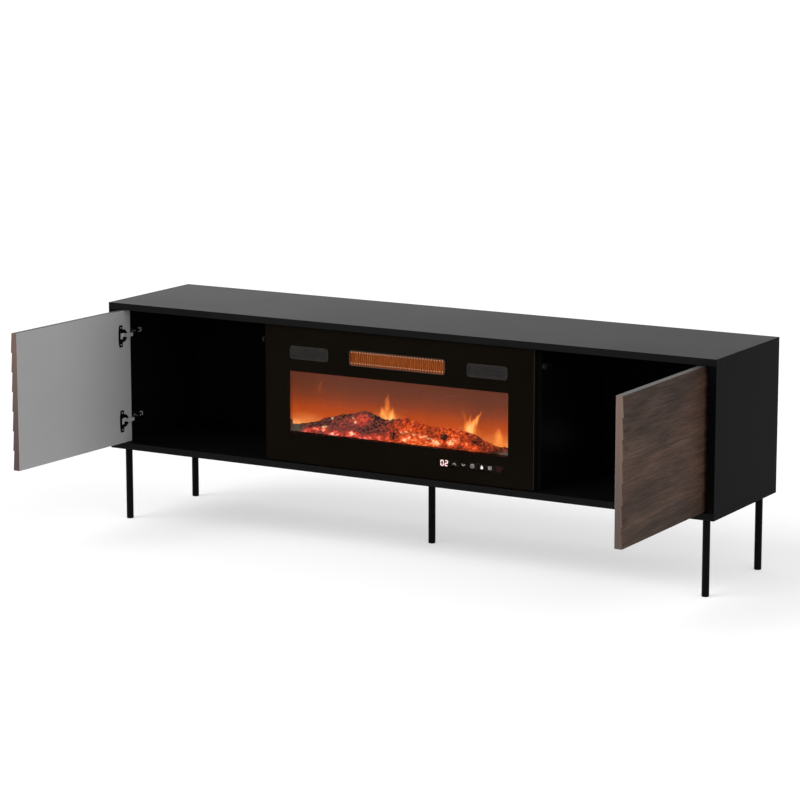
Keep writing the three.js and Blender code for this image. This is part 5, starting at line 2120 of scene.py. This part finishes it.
@dataclass
class Fire(SubAssembly):
    """The fire bed, its logs, its loose embers and the screen behind it."""

    ridge: tuple[float, ...] = (0.13, 0.25, 0.45, 0.68, 0.95, 0.7, 0.86, 0.645, 0.66, 0.5, 0.2, 0.16, 0.14)
    front_height: float = 0.008
    crest_height: float = 0.079
    crest_share: float = 0.55
    rear_share: float = 0.45
    columns: int = 400
    rows: int = 72
    coal: float = 0.0042
    coal_size: float = 0.011
    bark: float = 0.0026
    log_sides: int = 56
    log_rings: int = 110
    left_log: tuple[float, ...] = (-0.548, -0.0068, 0.17, 0.0125, 15.5)
    right_log: tuple[float, ...] = (0.463, -0.0053, 0.13, 0.012, -13.0)
    log_shape: tuple[float, ...] = (0.6, 0.9, 1.0, 0.92, 0.96, 0.8, 0.5)
    log_tip: float = 0.2
    chip_density: float = 2600.0
    chip_radius: float = 0.0026
    chip_reach: float = 0.32
    half_width: float = 0.3848

    def __post_init__(self) -> None:
        """Take the bed's place from the frame."""
        self.low, self.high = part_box("ember_bed")

    def build(self) -> None:
        """Make the bed, the logs, the loose embers and the screen's finish."""
        finish, bark = self.finish("glowing_embers", 0.3), self.finish("glowing_bark", 0.75)
        bed = self.bed()
        seat("ember_bed_coals", bed, [finish], ["ember_bed"])
        for side, sizes in ((Side.LEFT, self.left_log), (Side.RIGHT, self.right_log)):
            seat(f"log_{side.word}_bark", self.log(*sizes), [bark], [f"log_{side.word}"])
        chips = self.shop.scatter.over(finish, self.chip(), self.top_of(bed), self.chip_density)
        seat("loose_embers", chips)
        dress(self.screen(), "flame_screen")

    def crest(self, x: float) -> float:
        """The ridge's height above the bed's underside at X.

        Args:
            x: The place across.

        Returns:
            The height.
        """
        across = min(max((x + self.half_width) / (2 * self.half_width), 0.0), 1.0) * (len(self.ridge) - 1)
        first = min(int(across), len(self.ridge) - 2)
        share = across - first
        return self.crest_height * (self.ridge[first] * (1 - share) + self.ridge[first + 1] * share)

    def profile(self, back: float) -> float:
        """The bed's rise from its front to its crest and down behind it, from 0 to 1.

        Args:
            back: The place, as a share of the depth.

        Returns:
            The share of the crest's height.
        """
        if back < self.crest_share:
            return (1 - math.cos(back / self.crest_share * math.pi)) / 2
        behind = (back - self.crest_share) / (1 - self.crest_share)
        return self.rear_share + (1 - self.rear_share) * math.cos(behind * math.pi / 2)

    def bed_height(self, x: float, back: float) -> float:
        """The bed's plain height above its underside at X and at a share of its depth."""
        return self.front_height + self.profile(back) * max(self.crest(x) - self.front_height, 0.0)

    def bed(self) -> Mesh:
        """A closed bed of coals, with its share of the crest kept on its points.

        Returns:
            The mesh, in place.
        """
        low, high = self.low, self.high
        wide, deep = self.columns + 1, self.rows + 1
        points, crests = [], []
        for j in range(deep):
            back = j / self.rows
            y = low.y + (high.y - low.y) * back
            for i in range(wide):
                x = low.x + (high.x - low.x) * i / self.columns
                height = self.bed_height(x, back)
                crests.append(self.profile(back))
                place = Vector((x, y, low.z + height))
                near = noise.voronoi(Vector((x, y * 1.2, place.z)) / self.coal_size)[0]
                lump = self.coal * (0.55 - near[0]) * min(1.0, 0.25 + back * 3)
                rough = self.bark * noise.fractal(place / 0.009, 0.9, 2.1, 4)
                if j in (0, self.rows) or i in (0, self.columns):
                    lump = rough = 0.0
                points.append((x, y, max(place.z + lump + rough, low.z + 0.003)))
        count = len(points)
        faces = [(k, k + 1, k + wide + 1, k + wide)
                 for j in range(self.rows) for k in range(j * wide, j * wide + self.columns)]
        rim = [*range(self.columns), *range(self.columns, count - 1, wide),
               *range(count - 1, self.rows * wide, -1), *range(self.rows * wide, 0, -wide)]
        points += [(points[k][0], points[k][1], low.z) for k in rim]
        under = range(count, len(points))
        mesh = mesh_of(points, [*faces, *spanned([under, rim]), under[::-1]])
        mesh.shade_smooth()
        values = crests + [0.0] * (len(points) - count)
        mesh.attributes.new("crest", "FLOAT", "POINT").data.foreach_set("value", values)
        return mesh

    def top_of(self, bed: Mesh) -> Mesh:
        """Copy the part of the bed in front of its crest, for the chips to lie on.

        Args:
            bed: The bed.

        Returns:
            A new open mesh.
        """
        top = bed.copy()
        limit = self.low.y + (self.high.y - self.low.y) * self.crest_share
        with reworked(top) as built:
            gone = [f for f in built.faces if f.normal.z < 0.25 or f.calc_center_median().y > limit
                    or abs(f.calc_center_median().x) > self.chip_reach]
            bmesh.ops.delete(built, geom=gone, context="FACES")
        return top

    def chip(self) -> Mesh:
        """One broken ember of a few faces.

        Returns:
            The mesh, around the origin.
        """
        noise.seed_set(SEED)
        mesh = bpy.data.meshes.new("chip")
        with reworked(mesh) as built:
            bmesh.ops.create_icosphere(built, subdivisions=1, radius=self.chip_radius)
            for vert in built.verts:
                vert.co *= 0.75 + 0.5 * noise.random_vector().x * 0.4
        return mesh

    def log(self, share: float, lift: float, length: float, radius: float, tilt: float) -> Mesh:
        """A log of split bark lying on the crest.

        Args:
            share: Its place across, as a share of the half width.
            lift: Its height over the embers.
            length: Its length.
            radius: Its greatest radius.
            tilt: Its rise towards its right end, in degrees.

        Returns:
            The mesh, in place.
        """
        span = len(self.log_shape) - 1
        points, rings = [], []
        for k in range(self.log_rings + 1):
            along = k / self.log_rings
            step = along * span
            first = min(int(step), span - 1)
            size = self.log_shape[first] * (1 - step + first) + self.log_shape[first + 1] * (step - first)
            size *= min(1.0, self.log_tip + 3.2 * min(along, 1 - along))
            rings.append(range(len(points), len(points) + self.log_sides))
            for j in range(self.log_sides):
                angle = math.tau * j / self.log_sides
                ridge = noise.fractal(Vector((along * 9, math.cos(angle) * 3.2, math.sin(angle) * 3.2 + share)),
                                      0.8, 2.2, 4)
                split = noise.noise(Vector((along * 2.2, math.cos(angle) * 6, math.sin(angle) * 6 + 3 * share)))
                r = radius * size * (0.92 + 0.12 * ridge + 0.1 * split)
                points.append(((along - 0.5) * length, r * math.cos(angle), r * math.sin(angle)))
        faces = spanned(rings)
        for ring, x in ((rings[0], -0.5), (rings[-1], 0.5)):
            faces += spanned([ring, [len(points)]])
            points.append((x * length * 0.985, 0.0, 0.0))
        mesh = mesh_of(points, faces)
        x = share * self.half_width
        y = self.low.y + (self.high.y - self.low.y) * self.crest_share
        z = self.low.z + self.bed_height(x, self.crest_share) + lift
        turn = Matrix.Rotation(-math.radians(tilt), 4, "Y")
        mesh.transform(Matrix.Translation((x, y, z)) @ turn)
        mesh.shade_smooth()
        tops = [min(max((v.co.z - z) / radius * 0.5 + 0.6, 0.0), 1.0) for v in mesh.vertices]
        mesh.attributes.new("crest", "FLOAT", "POINT").data.foreach_set("value", tops)
        return mesh

    def finish(self, name: str, bark: float) -> EmberFinish:
        """The embers' finish: where they glow, where they are crusted, and where sparks and ash lie.

        Args:
            name: The material's name.
            bark: How dark the crest is.

        Returns:
            The finish.
        """
        glows = spot_set(
            (-0.29, 0.302, 0.024, 0.011, 0.55), (-0.264, 0.308, 0.022, 0.010, 0.65),
            (-0.238, 0.310, 0.022, 0.010, 0.6), (-0.202, 0.301, 0.032, 0.011, 0.65),
            (-0.153, 0.308, 0.032, 0.012, 0.6), (-0.11, 0.298, 0.034, 0.012, 0.5),
            (-0.083, 0.307, 0.036, 0.012, 0.45), (-0.045, 0.304, 0.04, 0.022, 0.36),
            (-0.17, 0.302, 0.15, 0.018, 0.26), (0.0146, 0.309, 0.044, 0.013, 0.6),
            (0.052, 0.318, 0.04, 0.009, 0.35), (0.06, 0.304, 0.05, 0.014, 0.46),
            (0.101, 0.311, 0.03, 0.015, 0.8), (0.147, 0.313, 0.034, 0.014, 0.7),
            (0.188, 0.311, 0.024, 0.013, 0.5), (0.212, 0.305, 0.024, 0.013, 0.5),
            (0.02, 0.34, 0.12, 0.045, 0.42), (0.155, 0.34, 0.09, 0.035, 0.6),
            (-0.13, 0.348, 0.05, 0.026, 0.42), (-0.19, 0.335, 0.1, 0.03, 0.26),
            (0.27, 0.315, 0.07, 0.03, 0.28), (0.05, 0.295, 0.2, 0.02, 0.25))
        darks = spot_set(
            (-0.025, 0.318, 0.016, 0.022, 0.3), (0.12, 0.325, 0.014, 0.02, 0.5),
            (-0.2, 0.33, 0.08, 0.014, 0.12), (0.275, 0.3, 0.03, 0.014, 0.35))
        sparks = spot_set(
            (-0.221, 0.339, 0.008, 0.004, 1.0), (-0.155, 0.346, 0.007, 0.005, 1.2),
            (-0.148, 0.336, 0.005, 0.005, 1.2), (-0.24, 0.317, 0.012, 0.004, 0.8),
            (0.004, 0.3265, 0.016, 0.003, 0.8), (0.03, 0.323, 0.018, 0.003, 0.8),
            (0.056, 0.319, 0.018, 0.003, 0.9), (0.08, 0.3155, 0.018, 0.003, 0.9),
            (0.101, 0.311, 0.014, 0.007, 0.7), (0.147, 0.313, 0.014, 0.006, 0.55),
            (-0.153, 0.308, 0.012, 0.004, 0.4), (-0.238, 0.31, 0.01, 0.004, 0.4))
        ash = spot_set((-0.345, 0.298, 0.066, 0.028, 1.0), (0.315, 0.296, 0.045, 0.018, 0.9))
        return EmberFinish(name, glows, darks, sparks, ash, bark=bark)

    def screen(self) -> FlameFinish:
        """The screen's finish: five flames and the glow behind the ends of the bed.

        Returns:
            The finish.
        """
        tongues = (
            Tongue(-0.08, 0.324, 0.094, 0.066, 0.004, 0.55), Tongue(-0.093, 0.324, 0.058, 0.064, -0.003, 0.6),
            Tongue(-0.064, 0.324, 0.056, 0.06, 0.003, 0.85), Tongue(0.164, 0.316, 0.07, 0.054, 0.008, 0.6),
            Tongue(0.174, 0.324, 0.07, 0.054, 0.03, 0.85), Tongue(0.158, 0.332, 0.066, 0.036, -0.012, 0.3),
            Tongue(0.254, 0.294, 0.066, 0.1, -0.002, 0.7), Tongue(-0.286, 0.394, 0.046, 0.026, 0.012, 0.2))
        glows = spot_set(
            (-0.367, 0.304, 0.05, 0.02, 0.85), (-0.325, 0.312, 0.08, 0.034, 0.45),
            (0.285, 0.304, 0.06, 0.02, 0.7), (0.26, 0.31, 0.1, 0.036, 0.4),
            (-0.078, 0.343, 0.07, 0.03, 0.4), (0.166, 0.334, 0.05, 0.024, 0.25))
        return FlameFinish("flame_screen_glow", tongues, glows, 0.292, 0.47)


@dataclass
class InsertBody(SubAssembly):
    """The insert's case, its works and its back."""

    screw_inset: float = 0.012
    screws_across: int = 6
    cover_screw: Flat = (0.0035, 0.0016)
    bracket_screw: Flat = (0.003, 0.0012)
    bracket_screw_back: float = 0.018
    bracket_screw_up: float = 0.011
    pins: tuple[Flat, ...] = ((-0.007, -0.0025), (0.0, 0.003), (0.007, -0.0025))
    pin_foot: float = 0.0102
    pin_length: float = 0.008

    def build(self) -> None:
        """Make the back cover, its screws, the inlet and the brackets, and dress the rest."""
        seat("insert_back_sheet", softened("insert_back_cover"),
             [Paint.GALVANISED], ["insert_back_cover"])
        low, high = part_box("insert_back_cover")
        spots = []
        for k in range(self.screws_across):
            x = low.x + self.screw_inset + (high.x - low.x - 2 * self.screw_inset) * k / (self.screws_across - 1)
            spots += [((x, high.y, z), (0.0, 1.0, 0.0))
                      for z in (low.z + self.screw_inset, high.z - self.screw_inset)]
        self.shop.screw("insert_back_screws", Paint.SCREW, self.cover_screw, spots)
        recut("power_inlet", "shell", 0.0006, Paint.PLASTIC, 3)
        self.inlet_pins()
        for side in Side:
            recut(f"insert_bracket_{side.word}", "steel", 0.0004, Paint.GALVANISED)
        self.bracket_screws()
        dress(Paint.CASING, "insert_casing", "chamber_shelf", "blower_housing")
        dress(Paint.ALUMINIUM, "blower_wheel")
        dress(Paint.PLASTIC, "blower_motor", "spindle_motor")
        dress(Paint.FOIL, "flame_spindle")
        dress(Paint.CIRCUIT, "lamp_board")

    def inlet_pins(self) -> None:
        """Make the three flat pins in the power inlet's recess."""
        low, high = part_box("power_inlet")
        x, z = (low.x + high.x) / 2, (low.z + high.z) / 2
        foot = high.y - self.pin_foot
        pins = [box_mesh((x + dx - 0.001, foot, z + dz - 0.002),
                         (x + dx + 0.001, foot + self.pin_length, z + dz + 0.002)) for dx, dz in self.pins]
        seat("power_inlet_pins", rounded(joined(pins)), [Paint.NICKEL])

    def bracket_screws(self) -> None:
        """Screw the brackets to the partitions."""
        spots = []
        for side in Side:
            low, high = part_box(f"insert_bracket_{side.word}")
            face = low.x if side is Side.RIGHT else high.x
            middle, z = (low.y + high.y) / 2, (low.z + high.z) / 2
            spots += [((face, middle + self.bracket_screw_back, z + way * self.bracket_screw_up),
                       (-float(side.value), 0.0, 0.0)) for way in (-1, 1)]
        self.shop.screw("insert_bracket_screws", Paint.SCREW, self.bracket_screw, spots)


@dataclass
class Studio:
    """The floor, the lights and the camera."""

    eye: Point = (3.8717, -6.8174, 1.8719)
    forward: Point = (-0.4934, 0.8498, -0.1854)
    up: Point = (-0.0928, 0.1605, 0.9827)
    lens: float = 136.47
    shift: Flat = (-0.0046, -0.0032)
    floor_size: float = 60.0
    floor_level: float = -0.0004
    ambient: float = 0.55
    key: float = 1.4
    fill: float = 0.8

    def build(self) -> None:
        """Make the studio."""
        self.camera()
        self.world()
        self.floor()
        self.sun("key_light", (-0.5, -0.75, 0.9), self.key, 40)
        self.sun("fill_light", (0.9, -0.45, 0.5), self.fill, 60)
        bpy.context.scene.view_settings.view_transform = "Standard"

    def camera(self) -> None:
        """Set the camera at the viewing angle."""
        data = bpy.data.cameras.new("view")
        data.lens = self.lens
        data.sensor_width = 36.0
        data.shift_x, data.shift_y = self.shift
        data.clip_end = 200.0
        eye = linked("view", data)
        back = -Vector(self.forward).normalized()
        right = Vector(self.up).cross(back).normalized()
        upright = back.cross(right)
        turn = Matrix((right, upright, back)).transposed().to_4x4()
        eye.matrix_world = Matrix.Translation(Vector(self.eye)) @ turn
        bpy.context.scene.camera = eye

    def seen(self, w: ShaderWiring) -> Socket:
        """1 for rays that show the backdrop, seen straight, mirrored or through glass.

        Args:
            w: The wiring of the material or the world.

        Returns:
            The socket.
        """
        path = w.add("ShaderNodeLightPath").outputs
        mirrored = w.math("MAXIMUM", path["Is Camera Ray"], path["Is Glossy Ray"])
        return w.math("MAXIMUM", mirrored, path["Is Transmission Ray"])

    def world(self) -> None:
        """Set a plain light all around, shown as white."""
        world = bpy.data.worlds.new("soft_surround")
        bpy.context.scene.world = world
        world.use_nodes = True
        w = ShaderWiring(world.node_tree)
        back = world.node_tree.nodes["Background"]
        back.inputs["Color"].default_value = (1, 1, 1, 1)
        strength = w.spread(self.seen(w), 0.0, 1.0, self.ambient, 1.0)
        w.tree.links.new(strength, back.inputs["Strength"])

    def floor(self) -> None:
        """Lay a pale floor that shows near white and keeps the cabinet's shadow."""
        half = self.floor_size / 2
        mesh = bpy.data.meshes.new("floor")
        corners = [(-half, -half, self.floor_level), (half, -half, self.floor_level),
                   (half, half, self.floor_level), (-half, half, self.floor_level)]
        mesh.from_pydata(corners, [], [(0, 1, 2, 3)])
        material = bpy.data.materials.new("pale_floor")
        material.use_nodes = True
        w = ShaderWiring(material.node_tree)
        surface = material.node_tree.nodes["Principled BSDF"]
        w.join(surface, Base_Color=(0.6, 0.6, 0.6, 1), Roughness=0.9, Specular_IOR_Level=0.0)
        light = w.add("ShaderNodeEmission", {"Color": (1, 1, 1, 1), "Strength": w.times(self.seen(w), 0.5)})
        both = w.add("ShaderNodeAddShader", {0: surface.outputs[0], 1: light.outputs[0]})
        end = material.node_tree.nodes["Material Output"]
        w.tree.links.new(both.outputs[0], end.inputs["Surface"])
        mesh.materials.append(material)
        floor = linked("floor", mesh)

    def sun(self, name: str, toward: Point, strength: float, angle: float) -> None:
        """Hang a wide soft light.

        Args:
            name: The light's name.
            toward: The direction in which it hangs.
            strength: Its strength.
            angle: How wide it is, in degrees.
        """
        data = bpy.data.lights.new(name, "SUN")
        data.energy = strength
        data.angle = math.radians(angle)
        light = linked(name, data)
        light.rotation_euler = Vector(toward).to_track_quat("Z", "Y").to_euler()


RIGHT_KNOTS = spot_set(
    (0.182, 0.130, 0.026, 0.011, 0.75), (0.264, 0.227, 0.045, 0.018, 0.6),
    (0.105, 0.252, 0.06, 0.03, 0.4), (0.456, 0.236, 0.02, 0.012, 0.4),
    (0.421, 0.315, 0.09, 0.035, 0.35), (0.12, 0.34, 0.12, 0.04, 0.45))
RIGHT_PALE = spot_set(
    (0.321, 0.177, 0.09, 0.03, 0.35), (0.111, 0.157, 0.07, 0.03, 0.3), (0.2, 0.07, 0.16, 0.03, 0.2))
LEFT_KNOTS = spot_set(
    (0.31, 0.11, 0.028, 0.012, 0.7), (0.15, 0.24, 0.05, 0.02, 0.55), (0.4, 0.29, 0.08, 0.03, 0.35))
LEFT_PALE = spot_set((0.22, 0.17, 0.1, 0.03, 0.35), (0.36, 0.06, 0.12, 0.03, 0.25))


def main() -> None:
    """Build the cabinet's looks, sub-assembly by sub-assembly."""
    logging.basicConfig(level=logging.INFO, format="%(name)s: %(message)s")
    shop = Workshop()
    doors = (Door(shop, Side.LEFT, 92.5, LEFT_KNOTS, LEFT_PALE, LIT_EDGE_LEFT),
             Door(shop, Side.RIGHT, 90.0, RIGHT_KNOTS, RIGHT_PALE, LIT_EDGE_RIGHT))
    for part in (Studio(), Carcass(shop), Legs(shop), *doors, Hinges(shop, doors), Latches(shop),
                 InsertFront(shop), ControlPanel(), Fire(shop), InsertBody(shop)):
        part.build()


if __name__ == "__main__":
    main()
